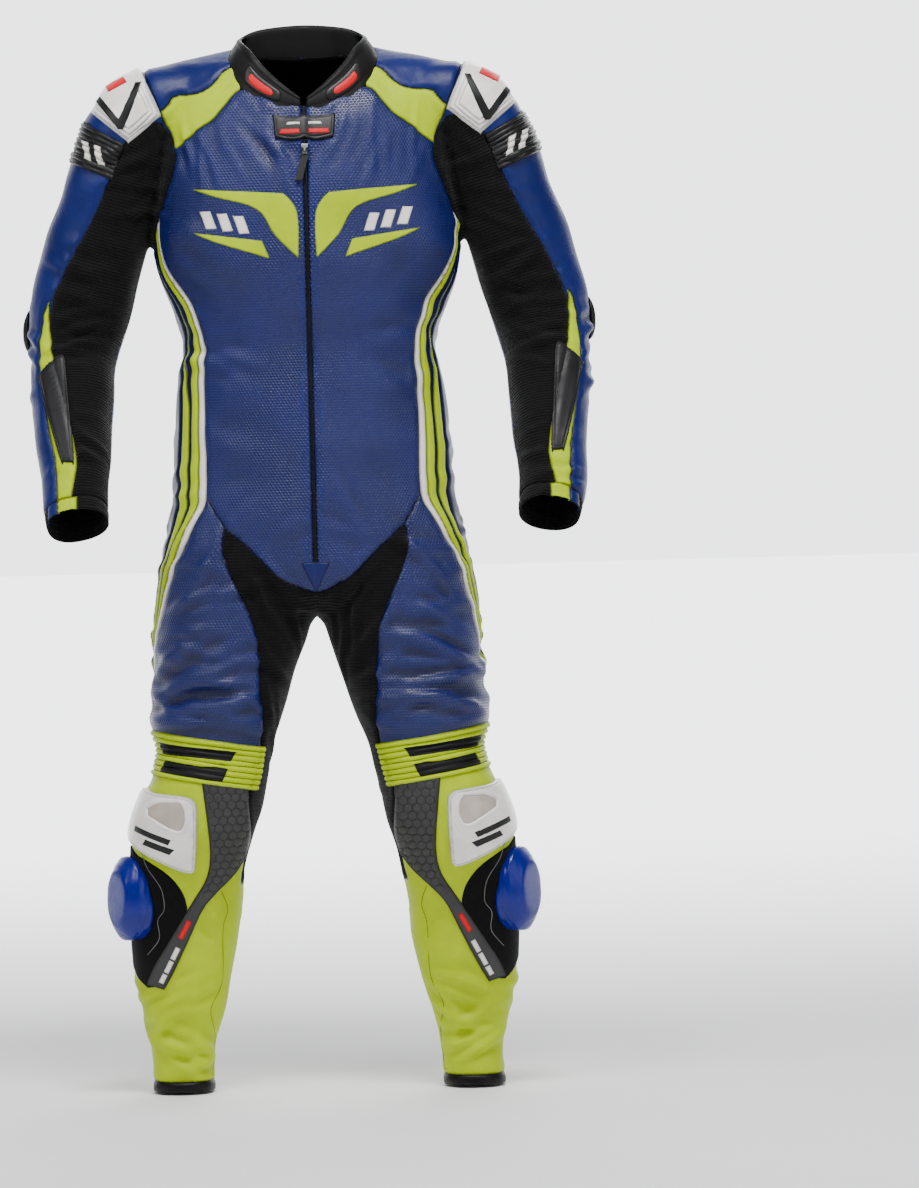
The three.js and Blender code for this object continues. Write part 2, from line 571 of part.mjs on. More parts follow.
// A band of the collar: from and to are shares of its height, inner and outer its two faces,
// and reach the shares of the way round where it starts and ends.
function collarBand({ from, to, inner, outer, reach }) {
  const ordered = [...collarHalf, ...collarHalf.slice(0, -1).reverse().map(acrossMiddle)];
  const bases = new THREE.CatmullRomCurve3(ordered.map((h) => h.base), false, "centripetal");
  const tops = new THREE.CatmullRomCurve3(ordered.map((h) => h.top), false, "centripetal");
  const steps = Math.max(4, Math.round(22 * (reach[1] - reach[0])));
  const points = [];
  const faces = [];
  for (let i = 0; i <= steps; i++) {
    const t = mix(reach[0], reach[1], i / steps);
    const [base, top] = [bases.getPoint(t), tops.getPoint(t)];
    const away = base.clone().sub(neckMiddle).projectOnPlane(neckAxis).normalize();
    for (const share of [from, to])
      for (const out of [inner, outer])
        points.push(base.clone().lerp(top, share).addScaledVector(away, out));
  }
  // corners of each station: 0 low inside, 1 low outside, 2 high inside, 3 high outside
  const quad = (a, b, c, d) => faces.push([a, b, c], [a, c, d]);
  for (let i = 0; i < steps; i++) {
    const [p, q] = [4 * i, 4 * i + 4];
    quad(p, p + 1, q + 1, q);
    quad(p + 1, p + 3, q + 3, q + 1);
    quad(p + 3, p + 2, q + 2, q + 3);
    quad(p + 2, p, q, q + 2);
  }
  quad(0, 2, 3, 1);
  const e = 4 * steps;
  quad(e, e + 1, e + 3, e + 2);
  return closedSolid(points, faces);
}
const collar = collarBand({ from: -0.35, to: 1, inner: -collarWall, outer: 0, reach: [0.004, 0.996] });
addMesh("collar", collar.subtract(formAt(lift)), "black");
const collarPatch = { from: 0.22, to: 0.8, inner: 2 * lift, outer: 2.2 };
addMesh("collar_patch_left", collarBand({ ...collarPatch, reach: [0.07, 0.2] }).subtract(formAt(1)), "plate");
addMesh("collar_patch_right", collarBand({ ...collarPatch, reach: [0.8, 0.93] }).subtract(formAt(1)), "plate");

// Front closure: a moulded tab over the zip's head, the slider, its pull and the patch at the zip's end.
const closure = [
  [-42, 1304], [-14, 1300], [0, 1304], [14, 1300], [42, 1304], [39, 1272], [14, 1268], [0, 1272], [-14, 1268],
  [-39, 1272],
];
addMesh("closure_tab", layer(lift, lift + 4.5).intersect(frontPrism(closure, -far, 0)), "black");
addMesh("zip_patch", layer(lift, lift + 1.4).intersect(frontPrism(zipPatch, -far, 0)), "blueSmooth");

const chestY = (z) => -valueAt(torsoSections, z, "front");
const chestLean = Math.atan2(chestY(pull.pivotZ) - chestY(pull.pivotZ - pull.long), pull.long);
function block(sizeX, sizeY, sizeZ, x, y, z) {
  return new THREE.BoxGeometry(sizeX, sizeY, sizeZ).translate(x, y, z);
}
// Small metal parts are made round the pivot, with -Z down the zip, then leaned to lie on the chest.
const pivot = v3(0, chestY(pull.pivotZ) - 5.2, pull.pivotZ);
const seated = (geometry, lean) => solidOf(geometry.rotateX(-lean).translate(pivot.x, pivot.y, pivot.z));
const onZip = (geometry) => seated(geometry, chestLean);
const bridge = { reach: 3.4, wide: 2.4, thick: 1.3, rise: 2.3 };
const sliderParts = [
  block(9, 2.6, 14, 0, 3.4, 0),
  ...[bridge.reach, -bridge.reach].map((z) => block(bridge.wide, 5.2, 1.6, 0, 0.3, z)),
  block(bridge.wide, bridge.thick, 2 * bridge.reach + 1.6, 0, -bridge.rise, 0),
].map(onZip);
const slider = sliderParts.reduce((all, part) => all.add(part));
addMesh("zip_slider", slider.subtract(formAt(lift)), "metal");

// The pull's bar turns under the slider's bridge, between two cheeks that carry the strap.
const pullLean = chestLean + THREE.MathUtils.degToRad(pull.offChest);
const strapOutline = [
  [-4.6, -9.6], [4.6, -9.6], [pull.wide / 2 - pull.lean, -pull.long], [-pull.wide / 2 - pull.lean, -pull.long],
];
const strapGeometry = new THREE.ExtrudeGeometry(shapeOf(strapOutline), {
  depth: pull.thick,
  bevelEnabled: false,
});
const pullParts = [
  new THREE.CylinderGeometry(pull.barRadius, pull.barRadius, 9.2, 10).rotateZ(Math.PI / 2),
  block(1.8, pull.thick, 12, -3.7, 0, -4.4),
  block(1.8, pull.thick, 12, 3.7, 0, -4.4),
  strapGeometry.rotateX(Math.PI / 2).translate(0, pull.thick / 2, 0),
].map((geometry) => seated(geometry, pullLean));
addMesh("zip_pull", pullParts.reduce((all, part) => all.add(part)), "black");

const suit = new THREE.Group();
suit.position.z = -originHeight;
meshes.forEach((mesh) => suit.add(mesh));
export default suit;
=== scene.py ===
# One-piece leather race suit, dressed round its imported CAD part.
# The skin is one filled form, cut along its seams into sewn panels, and every other piece is laid on it.
# Tables are in millimetres above the ankle hems, seen from the front, for the wearer's left side.
import math

import bmesh
import bpy
import numpy as np
from mathutils import Matrix, Vector
from mathutils.bvhtree import BVHTree
from mathutils.kdtree import KDTree


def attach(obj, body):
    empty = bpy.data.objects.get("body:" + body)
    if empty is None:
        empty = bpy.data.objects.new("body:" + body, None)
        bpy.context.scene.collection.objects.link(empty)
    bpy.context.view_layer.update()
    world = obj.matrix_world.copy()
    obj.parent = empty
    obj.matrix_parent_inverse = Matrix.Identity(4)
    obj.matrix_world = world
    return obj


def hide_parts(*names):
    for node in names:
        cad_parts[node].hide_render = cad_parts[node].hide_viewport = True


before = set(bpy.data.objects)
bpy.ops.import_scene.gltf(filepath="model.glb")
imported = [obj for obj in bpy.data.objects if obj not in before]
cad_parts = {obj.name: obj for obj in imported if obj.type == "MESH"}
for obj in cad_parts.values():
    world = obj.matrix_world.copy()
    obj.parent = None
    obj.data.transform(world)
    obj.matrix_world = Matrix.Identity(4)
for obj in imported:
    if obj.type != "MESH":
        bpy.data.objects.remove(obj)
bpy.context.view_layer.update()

suit = {
    "hemDrop": 1385,  # the hems' distance below the frame's zero
    "roundness": 2.25,  # 2 is an ellipse, more is squarer
    "rowStep": 8, "voxel": 4.0, "wall": 1.8,
}
fieldReach = 25  # fields are measured no further than this from an outline

# x, y, z, half width, depth in front, depth behind
trunkRows = [
    (0, 0, 1404, 84, 12, 26), (0, 0, 1397, 116, 24, 42), (0, 0, 1380, 194, 52, 71),
    (0, 0, 1350, 204, 81, 99), (0, 0, 1300, 202, 107, 120), (0, 0, 1240, 202, 124, 130),
    (0, 0, 1170, 207, 132, 129), (0, 0, 1110, 206, 130, 119), (0, 0, 1055, 186, 120, 107),
    (0, 0, 1000, 171, 112, 99), (0, 0, 945, 181, 110, 98), (0, 0, 870, 187, 112, 109),
    (0, 0, 800, 191, 113, 123), (0, 0, 735, 202, 111, 130), (0, 0, 690, 207, 102, 125),
    (0, 0, 653, 188, 78, 96), (0, 0, 637, 138, 46, 58),
]
armRows = [
    (150, 0, 1336, 42, 60, 60), (190, 0, 1329, 52, 68, 68), (223, 1, 1306, 61, 72, 72),
    (246, 3, 1262, 64, 71, 71), (268, 7, 1192, 65, 69, 69), (292, 12, 1118, 68, 67, 67),
    (311, 14, 1050, 67, 64, 64), (320, 1, 988, 59, 57, 57), (320, -30, 926, 54, 53, 53),
    (319, -72, 859, 49, 48, 48), (316, -113, 795, 43, 43, 43), (312, -133, 765, 41, 41, 41),
    (307, -154, 733, 41, 41, 41),
]
cuffRow = 11  # the sleeve ends here, square to the arm
legRows = [
    (95, 0, 800, 88, 88, 100), (104, 0, 725, 101, 102, 122), (112, 0, 660, 106, 102, 113),
    (119, -3, 600, 103, 97, 102), (131, -9, 540, 93, 92, 92), (140, -16, 493, 88, 89, 84),
    (141, -20, 460, 76, 76, 75), (147, -22, 432, 77, 79, 71), (157, -22, 403, 81, 83, 69),
    (169, -20, 365, 84, 85, 69), (179, -12, 318, 79, 79, 70), (186, -2, 262, 75, 71, 70),
    (189, 7, 200, 71, 65, 67), (193, 10, 140, 63, 58, 60), (195, 10, 88, 50, 50, 52),
    (196, 10, 34, 42, 45, 47), (196, 10, -30, 41, 44, 46),
]

# z, then y of the white, yellow and side panels' front edges and of the side panel's back edge
sideEdges = [
    (1205, -34, -27, -9, 30), (1165, -42, -35, -14, 34), (1100, -60, -53, -30, 36),
    (1055, -71, -64, -38, 36), (985, -72, -65, -37, 36), (915, -76, -69, -40, 40),
    (850, -80, -73, -43, 46), (797, -81, -74, -45, 50), (740, -76, -68, -38, 52),
    (698, -65, -57, -28, 52), (657, -53, -44, -18, 48), (610, -39, -30, -8, 42),
    (560, -24, -15, 0, 34), (400, -18, -9, 3, 30),
]

# Seams, x and z in the front view
armholeSeam = [
    (214, 1420), (214, 1378), (203, 1345), (187, 1305), (176, 1274), (174, 1246), (184, 1214),
    (200, 1176), (206, 1145), (214, 1106), (214, 1060), (222, 900), (236, 700),
]
yokeTop = [(40, 1400), (99, 1372), (124, 1348), (142, 1339), (172, 1335), (186, 1318), (230, 1290)]
yokeBottom = [(230, 1240), (172, 1266), (140, 1290), (120, 1303), (105, 1321), (84, 1342), (40, 1352)]
gusset = [
    (-20, 670), (0, 668), (20, 674), (52, 693), (86, 726), (120, 757), (123, 727), (115, 698),
    (99, 662), (85, 628), (79, 596), (76, 560), (78, 530), (74, 500), (84, 440), (98, 400),
    (97, 352), (103, 320), (112, 280), (40, 240), (-20, 240),
]
kneeBack = [(-10, 500), (212, 500), (226, 420), (214, 300), (180, 246), (120, 240), (-10, 300)]
thighPanel = [
    (120, 757), (143, 795), (170, 830), (400, 830), (400, 300), (20, 300), (60, 697), (86, 726),
]
stretchPanel = [
    (174, 1246), (184, 1214), (200, 1176), (206, 1145), (214, 1100), (214, 1020), (262, 960),
    (263, 900), (269, 840), (272, 740), (322, 740), (320, 800), (312, 850), (322, 905),
    (343, 985), (349, 1028), (345, 1062), (327, 1103), (300, 1150), (282, 1182), (262, 1225),
    (246, 1262), (234, 1284), (212, 1298), (196, 1300), (183, 1290), (176, 1270),
]
forearmStripe = [
    (349, 1066), (358, 1046), (363, 1010), (362, 970), (352, 905), (342, 850), (338, 780),
    (336, 730), (312, 730), (312, 790), (312, 850), (322, 905), (343, 985), (349, 1028),
]
capPanel = [(140, 1200), (246, 1238), (335, 1285), (480, 1340), (700, 1500), (100, 1500)]

# Outlines of what lies on the panels
forearmPlate = [
    (333, 994), (341, 991), (363, 968), (363, 958), (335, 856), (329, 850), (319, 849),
    (316, 857), (325, 962), (328, 990),
]
shoulderCup = [
    (219, 1377), (236, 1372), (258, 1363), (274, 1345), (283, 1326), (284, 1318), (240, 1279),
    (232, 1277), (196, 1306), (192, 1314), (212, 1360),
]
kneeCup = [
    (221, 406), (236, 410), (250, 400), (256, 374), (262, 348), (243, 328), (206, 308),
    (182, 299), (172, 302), (169, 320), (166, 382), (171, 397), (184, 402),
]
slidePad = [
    (264, 344), (250, 324), (236, 316), (208, 297), (191, 276), (184, 256), (185, 240),
    (196, 205), (214, 168), (226, 144), (240, 142), (252, 154), (262, 176), (275, 220), (275, 330),
]
kneePanel = [
    (159, 421), (99, 413), (96, 352), (102, 324), (117, 297), (146, 268), (163, 247),
    (184, 204), (206, 160), (218, 140), (240, 146), (230, 172), (191, 236), (174, 262),
    (157, 290), (151, 318), (152, 356),
]
zipPatch = [(-19, 708), (19, 708), (0, 668)]
closureTab = [
    (-42, 1304), (-14, 1300), (0, 1304), (14, 1300), (42, 1304), (39, 1272), (14, 1268),
    (0, 1272), (-14, 1268), (-39, 1272),
]

# base x and z, top x and z, how far the top leans back, and 1 where the seam is behind
collarStations = [
    (2, 1313, 3, 1325, 1, 0), (33, 1317, 27, 1343, 4, 0), (64, 1329, 52, 1367, 6, 0),
    (84, 1351, 70, 1391, 6, 0), (98, 1384, 83, 1408, 4, 0), (92, 1397, 81, 1419, 0, 1),
    (62, 1394, 57, 1429, -3, 1), (0, 1392, 0, 1434, -4, 1),
]


# Mesh helpers: points are rows of an array, faces are triangles
def bulge(c):
    return np.sign(c) * np.abs(c) ** (2 / suit["roundness"])


def unit(v):
    return v / np.maximum(np.linalg.norm(v, axis=-1, keepdims=True), 1e-9)


def toScene(points):
    return (points - np.array([0, 0, suit["hemDrop"]])) / 1000


# A curve's point at t between a and b, with its directions there
def curved(t, a, b, fromA, toB):
    start = (2 * t**3 - 3 * t**2 + 1) * a + (t**3 - 2 * t**2 + t) * fromA
    return start + (3 * t**2 - 2 * t**3) * b + (t**3 - t**2) * toB


def smoothRows(rows, step):
    rows = np.array(rows, dtype=float)
    gaps = np.linalg.norm(np.diff(rows[:, :3], axis=0), axis=1)
    travel = np.concatenate(([0], np.cumsum(gaps)))
    slopes = np.gradient(rows, travel, axis=0)
    at = np.linspace(0, travel[-1], int(travel[-1] / step) + 1)
    i = np.clip(np.searchsorted(travel, at, side="right") - 1, 0, len(gaps) - 1)
    h = gaps[i][:, None]
    t = (at - travel[i])[:, None] / h
    return curved(t, rows[i], rows[i + 1], h * slopes[i], h * slopes[i + 1]), at


def smoothOutline(outline, parts=5, sharp=48):
    corners = np.array(outline, dtype=float)
    before, after = corners - np.roll(corners, 1, 0), np.roll(corners, -1, 0) - corners
    turn = np.degrees(np.arccos(np.clip((unit(before) * unit(after)).sum(1), -1, 1)))
    tangent = (before + after) / 2 * (turn < sharp)[:, None]
    spans = zip(corners, np.roll(corners, -1, 0), tangent, np.roll(tangent, -1, 0))
    return np.array([curved(t, *span) for span in spans for t in np.arange(parts) / parts])


# How far each point is inside an outline, below zero outside it
def insideBy(u, v, outline):
    corners = np.array(outline, dtype=float)
    low, high = corners.min(0) - fieldReach, corners.max(0) + fieldReach
    near = (u > low[0]) & (u < high[0]) & (v > low[1]) & (v < high[1])
    un, vn = u[near], v[near]
    best = np.full(len(un), 1e9)
    inside = np.zeros(len(un), dtype=bool)
    for (ax, ay), (bx, by) in zip(corners, np.roll(corners, -1, 0)):
        dx, dy = bx - ax, by - ay
        t = np.clip(((un - ax) * dx + (vn - ay) * dy) / max(dx * dx + dy * dy, 1e-9), 0, 1)
        best = np.minimum(best, (un - ax - t * dx) ** 2 + (vn - ay - t * dy) ** 2)
        if ay != by:
            inside ^= ((ay > vn) != (by > vn)) & (un < (vn - ay) * dx / dy + ax)
    result = np.full(len(u), -float(fieldReach))
    result[near] = np.where(inside, 1, -1) * np.sqrt(best)
    return result


def edgesOf(faces):
    return np.unique(np.sort(faces[:, [0, 1, 1, 2, 2, 0]].reshape(-1, 2), axis=1), axis=0)


def spread(index, values, count):
    return np.stack([np.bincount(index, values[:, k], count) for k in range(values.shape[1])], 1)


def relax(points, edges, weight, times):
    a, b = edges.T
    count = np.maximum(np.bincount(edges.ravel(), minlength=len(points)), 1)[:, None]
    for _ in range(times):
        total = spread(a, points[b], len(points)) + spread(b, points[a], len(points))
        points = points + weight * (total / count - points)
    return points


def normalsOf(points, faces):
    a, b, c = (points[faces[:, k]] for k in range(3))
    across = np.cross(b - a, c - a)
    return unit(sum(spread(faces[:, k], across, len(points)) for k in range(3)))


# Splits the triangles along a field's zero line. Extra columns of the points are carried along.
def splitAlong(points, faces, field, snap=0.25):
    values = field(points[:, :3]).astype(float)
    a, b = edgesOf(faces).T
    crossing = values[a] * values[b] < 0
    a, b = a[crossing], b[crossing]
    share = values[a] / (values[a] - values[b])
    who, other, part = np.concatenate((a, b)), np.concatenate((b, a)), np.concatenate((share, 1 - share))
    order = np.argsort(-part)
    order = order[part[order] < snap]
    moved = points.copy()
    moved[who[order]] += part[order][:, None] * (points[other[order]] - points[who[order]])
    values[who[order]] = 0
    points = moved
    sign = np.sign(np.where(np.abs(values) < 1e-7, 0, values)).astype(int)
    signs = sign[faces]
    cut = (signs.min(1) < 0) & (signs.max(1) > 0)
    if not cut.any():
        return points, faces
    kept, split, signs = faces[~cut], faces[cut], signs[cut]
    onLine = (signs == 0).any(1)
    lone = np.where(onLine, np.argmax(signs == 0, 1), np.argmax(signs == -signs.sum(1)[:, None], 1))
    split = np.take_along_axis(split, (lone[:, None] + np.arange(3)) % 3, 1)
    halved, cornered = split[onLine], split[~onLine]
    pairs = np.concatenate((halved[:, [1, 2]], cornered[:, [0, 1]], cornered[:, [0, 2]]))
    unique, index = np.unique(np.sort(pairs, 1), axis=0, return_inverse=True)
    index = index.ravel() + len(points)
    p, q = unique.T
    t = (values[p] / (values[p] - values[q]))[:, None]
    points = np.concatenate((points, points[p] + t * (points[q] - points[p])))
    middle, first, second = np.split(index, [len(halved), len(halved) + len(cornered)])
    (tip, left, right), (peak, near, far) = halved.T, cornered.T
    parts = [
        (tip, left, middle), (tip, middle, right),
        (peak, first, second), (first, near, far), (first, far, second),
    ]
    return points, np.concatenate([kept] + [np.stack(part, 1) for part in parts])


def halve(points, faces):
    sides = np.sort(faces[:, [0, 1, 1, 2, 2, 0]].reshape(-1, 2), axis=1)
    edges, index = np.unique(sides, axis=0, return_inverse=True)
    middle = index.reshape(-1, 3) + len(points)
    points = np.concatenate((points, (points[edges[:, 0]] + points[edges[:, 1]]) / 2))
    a, b, c = faces.T
    ab, bc, ca = middle.T
    parts = [(a, ab, ca), (ab, b, bc), (ca, bc, c), (ab, bc, ca)]
    return points, np.concatenate([np.stack(part, 1) for part in parts])


def onlyFaces(points, faces, keep):
    used, index = np.unique(faces[keep], return_inverse=True)
    return points[used], index.reshape(-1, 3), used


def rimOf(faces):
    directed = faces[:, [0, 1, 1, 2, 2, 0]].reshape(-1, 2)
    ordered = np.sort(directed, 1)
    _, index, count = np.unique(ordered, axis=0, return_inverse=True, return_counts=True)
    return directed[count[index.ravel()] == 1]


# A closed wall between an outer and an inner set of points with the same faces
def shellFaces(faces, count):
    rim = rimOf(faces)
    a, b = rim.T
    sides = [np.stack((b, a, a + count), 1), np.stack((b, a + count, b + count), 1)]
    return np.concatenate([faces, faces[:, ::-1] + count, *sides])


def linked(name, data):
    item = bpy.data.objects.new(name, data)
    bpy.context.scene.collection.objects.link(item)
    return item


def shade(piece, smooth):
    piece.data.polygons.foreach_set("use_smooth", np.full(len(piece.data.polygons), smooth))


def addMesh(name, points, faces, material=None, uv=None, values=None):
    mesh = bpy.data.meshes.new(name)
    mesh.vertices.add(len(points))
    mesh.vertices.foreach_set("co", np.asarray(points, dtype=np.float32).ravel())
    mesh.loops.add(len(faces) * 3)
    mesh.loops.foreach_set("vertex_index", np.asarray(faces, dtype=np.int32).ravel())
    mesh.polygons.add(len(faces))
    mesh.polygons.foreach_set("loop_start", np.arange(0, len(faces) * 3, 3, dtype=np.int32))
    if uv is not None:
        layer = mesh.uv_layers.new(name="cloth")
        layer.data.foreach_set("uv", np.asarray(uv, dtype=np.float32)[np.asarray(faces).ravel()].ravel())
    for key, column in (values or {}).items():
        mesh.attributes.new(key, "FLOAT", "POINT").data.foreach_set("value", column.astype(np.float32))
    mesh.update(calc_edges=True)
    piece = linked(name, mesh)
    shade(piece, True)
    if material:
        mesh.materials.append(material)
    return piece


def arraysOf(mesh):
    mesh.calc_loop_triangles()
    points = np.empty(len(mesh.vertices) * 3)
    mesh.vertices.foreach_get("co", points)
    faces = np.empty(len(mesh.loop_triangles) * 3, dtype=np.int32)
    mesh.loop_triangles.foreach_get("vertices", faces)
    return points.reshape(-1, 3), faces.reshape(-1, 3).astype(np.int64)


# The modifiers' result takes their place
def settle(piece):
    graph = bpy.context.evaluated_depsgraph_get()
    mesh = bpy.data.meshes.new_from_object(piece.evaluated_get(graph))
    piece.modifiers.clear()
    piece.data = mesh


# The filled form
def limbFrames(rows, square):
    fine, at = smoothRows(rows, suit["rowStep"])
    centre = fine[:, :3]
    if square:
        along = unit(np.gradient(centre, axis=0))
        across = unit(np.cross(along, np.array([0, 1, 0])))
        forward = np.cross(along, across)
    else:
        along = np.tile([0.0, 0, -1], (len(centre), 1))
        across = np.tile([1.0, 0, 0], (len(centre), 1))
        forward = np.tile([0.0, -1, 0], (len(centre), 1))
    return {
        "centre": centre, "along": along, "across": across, "forward": forward, "travel": at,
        "half": fine[:, 3], "front": fine[:, 4], "back": fine[:, 5],
    }


limbs = {
    "trunk": limbFrames(trunkRows, False),
    "arm": limbFrames(armRows, True),
    "leg": limbFrames(legRows, False),
}


def tubeOf(limb, sides=96):
    angle = np.arange(sides) / sides * 2 * math.pi
    s, c = bulge(np.sin(angle)), bulge(np.cos(angle))
    depth = np.where(c > 0, limb["front"][:, None], limb["back"][:, None])
    points = limb["centre"][:, None] + limb["across"][:, None] * (limb["half"][:, None] * s)[..., None]
    points = points + limb["forward"][:, None] * (depth * c)[..., None]
    rows = len(points)
    points = np.concatenate((points.reshape(-1, 3), limb["centre"][[0, -1]]))
    i, k = np.meshgrid(np.arange(rows - 1), np.arange(sides), indexing="ij")
    a, b = (i * sides + k).ravel(), (i * sides + (k + 1) % sides).ravel()
    ring, after = np.arange(sides), (np.arange(sides) + 1) % sides
    last = (rows - 1) * sides
    faces = np.concatenate((
        np.stack((a, a + sides, b + sides), 1), np.stack((a, b + sides, b), 1),
        np.stack((np.full(sides, rows * sides), ring, after), 1),
        np.stack((np.full(sides, rows * sides + 1), last + after, last + ring), 1),
    ))
    return points, faces


def joined(parts):
    offset, points, faces = 0, [], []
    for p, f in parts:
        points.append(p)
        faces.append(f + offset)
        offset += len(p)
    return np.concatenate(points), np.concatenate(faces)


mirror = np.array([-1, 1, 1])
tubes = [tubeOf(limbs["trunk"])]
for part in ("arm", "leg"):
    limbPoints, limbFaces = tubeOf(limbs[part])
    tubes += [(limbPoints, limbFaces), (limbPoints * mirror, limbFaces[:, ::-1])]
form = addMesh("form", *joined(tubes))
union = form.modifiers.new("union", "REMESH")
union.mode = "VOXEL"
union.voxel_size = suit["voxel"]
settle(form)
skin, skinFaces = arraysOf(form.data)
bpy.data.objects.remove(form)
if (normalsOf(skin, skinFaces) * (skin - skin.mean(0))).sum() < 0:
    skinFaces = skinFaces[:, ::-1]
skinEdges = edgesOf(skinFaces)
for weight in (0.5, -0.52) * 6:  # each second pass swells back what the first took in
    skin = relax(skin, skinEdges, weight, 1)
print("filled form:", len(skin), "points")

# The junctions of limbs and trunk are eased: x, z, how wide and how often
junctions = [
    ((205, 1120), (34, 60), 30), ((0, 640), (60, 46), 26), ((196, 1345), (34, 46), 16),
    ((190, 700), (60, 90), 14),
]
for (x, z), (wide, tall), times in junctions:
    near = np.exp(-(((np.abs(skin[:, 0]) - x) / wide) ** 2) - ((skin[:, 2] - z) / tall) ** 2)
    skin = relax(skin, skinEdges, 0.6 * near[:, None], times)


# Fields: each is above zero inside its panel
armMiddle = [(1500, 0), (1320, 0)] + [(z, y) for _, y, z, *_ in armRows[4:]] + [(700, armRows[-1][1])]
legMiddle = [(1500, 0)] + [(z, y) for _, y, z, *_ in legRows[2:]] + [(-80, legRows[-1][1])]


def ahead(p, middle, behind):
    z, y = np.array(middle[::-1], dtype=float).T
    return np.interp(p[:, 2], z, y) + behind - p[:, 1]


def aheadOfArm(p, behind=0):
    return ahead(p, armMiddle, behind)


def aheadOfLeg(p, behind=0):
    return ahead(p, legMiddle, behind)


def inFront(outline, smooth=True, sharp=48):
    edge = smoothOutline(outline, sharp=sharp) if smooth else outline
    return lambda p: insideBy(np.abs(p[:, 0]), p[:, 2], edge)


def both(*fields):
    return lambda p: np.minimum.reduce([f(p) for f in fields])


def either(*fields):
    return lambda p: np.maximum.reduce([f(p) for f in fields])


armLimb = limbs["arm"]
cuffAt = np.argmin(np.linalg.norm(armLimb["centre"] - np.array(armRows[cuffRow][:3]), axis=1))
cuffEnd, cuffAlong = armLimb["centre"][cuffAt], armLimb["along"][cuffAt]
lowArm = {"inside": 232, "top": 900, "bottom": 600}  # the cuff's plane ends the skin only here


def pastCuff(p, back=0):
    reach = (p * np.where(p[:, :1] < 0, mirror, 1) - cuffEnd) @ cuffAlong + back
    there = (np.abs(p[:, 0]) > lowArm["inside"]) & (p[:, 2] < lowArm["top"]) & (p[:, 2] > lowArm["bottom"])
    return np.where(there, reach, -fieldReach)


# A band lies between two edges, each a share of the way from one of the side edges to another.
# The share may change between these heights.
bandHeights = (400, 915, 1000, 1205)


def sideBand(start, end):
    edges = np.array(sideEdges, dtype=float)
    starting, ending = (np.interp(edges[:, 0], bandHeights, np.broadcast_to(b[2], 4)) for b in (start, end))
    first = edges[:, 1 + start[0]] * (1 - starting) + edges[:, 1 + start[1]] * starting
    last = edges[:, 1 + end[0]] * (1 - ending) + edges[:, 1 + end[1]] * ending
    z = np.linspace(bandHeights[0], bandHeights[-1], 60)
    first, last = (np.interp(z, edges[::-1, 0], e[::-1]) for e in (first, last))
    band = np.concatenate((np.stack((first, z), 1), np.stack((last, z), 1)[::-1]))
    return lambda p: np.minimum(insideBy(p[:, 1], p[:, 2], band), np.abs(p[:, 0]) - 90)


def trunkDepth(x, z, behind):
    rows = np.array(trunkRows, dtype=float)[::-1]
    half = np.interp(z, rows[:, 2], rows[:, 3])
    depth = np.interp(z, rows[:, 2], rows[:, 5 if behind else 4])
    share = 1 - min(1, abs(x) / half) ** suit["roundness"]
    return (1 if behind else -1) * depth * share ** (1 / suit["roundness"])


neckMiddle, neckAxis = np.array([0, -20, 1365]), unit(np.array([0, -0.42, 0.91]))
neckUp = np.cross(neckAxis, np.array([1, 0, 0]))
collarBase = np.array([(x, trunkDepth(x, z, behind), z) for x, z, _, _, _, behind in collarStations])
collarTop = np.array([
    (tx, trunkDepth(x, z, behind) + lean, tz) for x, z, tx, tz, lean, behind in collarStations
])


def roundLoop(half, parts=8):
    loop = np.concatenate((half, half[-2::-1] * mirror))
    slopes = np.gradient(loop, axis=0)
    spans = zip(loop, loop[1:], slopes, slopes[1:])
    points = [curved(t, *span) for span in spans for t in np.arange(parts) / parts]
    return np.array(points + [loop[-1]])


baseLoop, topLoop = roundLoop(collarBase), roundLoop(collarTop)


def inNeck(p):
    local = p - neckMiddle
    loop = baseLoop - neckMiddle
    outline = np.stack((loop[:, 0], loop @ neckUp), 1)
    reach = insideBy(local[:, 0], local @ neckUp, outline)
    return np.where(np.abs(local @ neckAxis - 10) < 80, reach - 1, -fieldReach)


cuffBand, hemBand, kneeSeam, waistSeam = 20, 14, 440, 800
zipLine = {"half": 2, "bottom": 705, "top": 1330}
armhole = inFront(armholeSeam + [(700, 700), (700, 1420)])
sleeve = both(armhole, lambda p: p[:, 2] - 700)
body = lambda p: -armhole(p)


def zipField(p):
    strip = [zipLine["half"] - np.abs(p[:, 0]), p[:, 2] - zipLine["bottom"], zipLine["top"] - p[:, 2]]
    return np.where(p[:, 1] < 0, np.minimum.reduce(strip), -fieldReach)


legBack = both(inFront(kneeBack), lambda p: -aheadOfLeg(p))
capEdge = inFront(capPanel, False)
chest = lambda p: -p[:, 1]
yokeField = both(inFront(yokeTop + yokeBottom), chest)
shoulderField = inFront(yokeTop + [(230, 1450), (-10, 1450), (-10, 1400)], False)
thighField = both(inFront(thighPanel, False), lambda p: aheadOfLeg(p, 20))
navyStart, navyEnd = (1, 2, (0.36, 0.36, 0.42, 0.45)), (1, 2, (0.48, 0.48, 0.9, 0.97))
cuffField = both(sleeve, lambda p: pastCuff(p, cuffBand))
cuffSide = both(lambda p: np.abs(p[:, 0]) - 322, lambda p: 352 - np.abs(p[:, 0]), aheadOfArm)

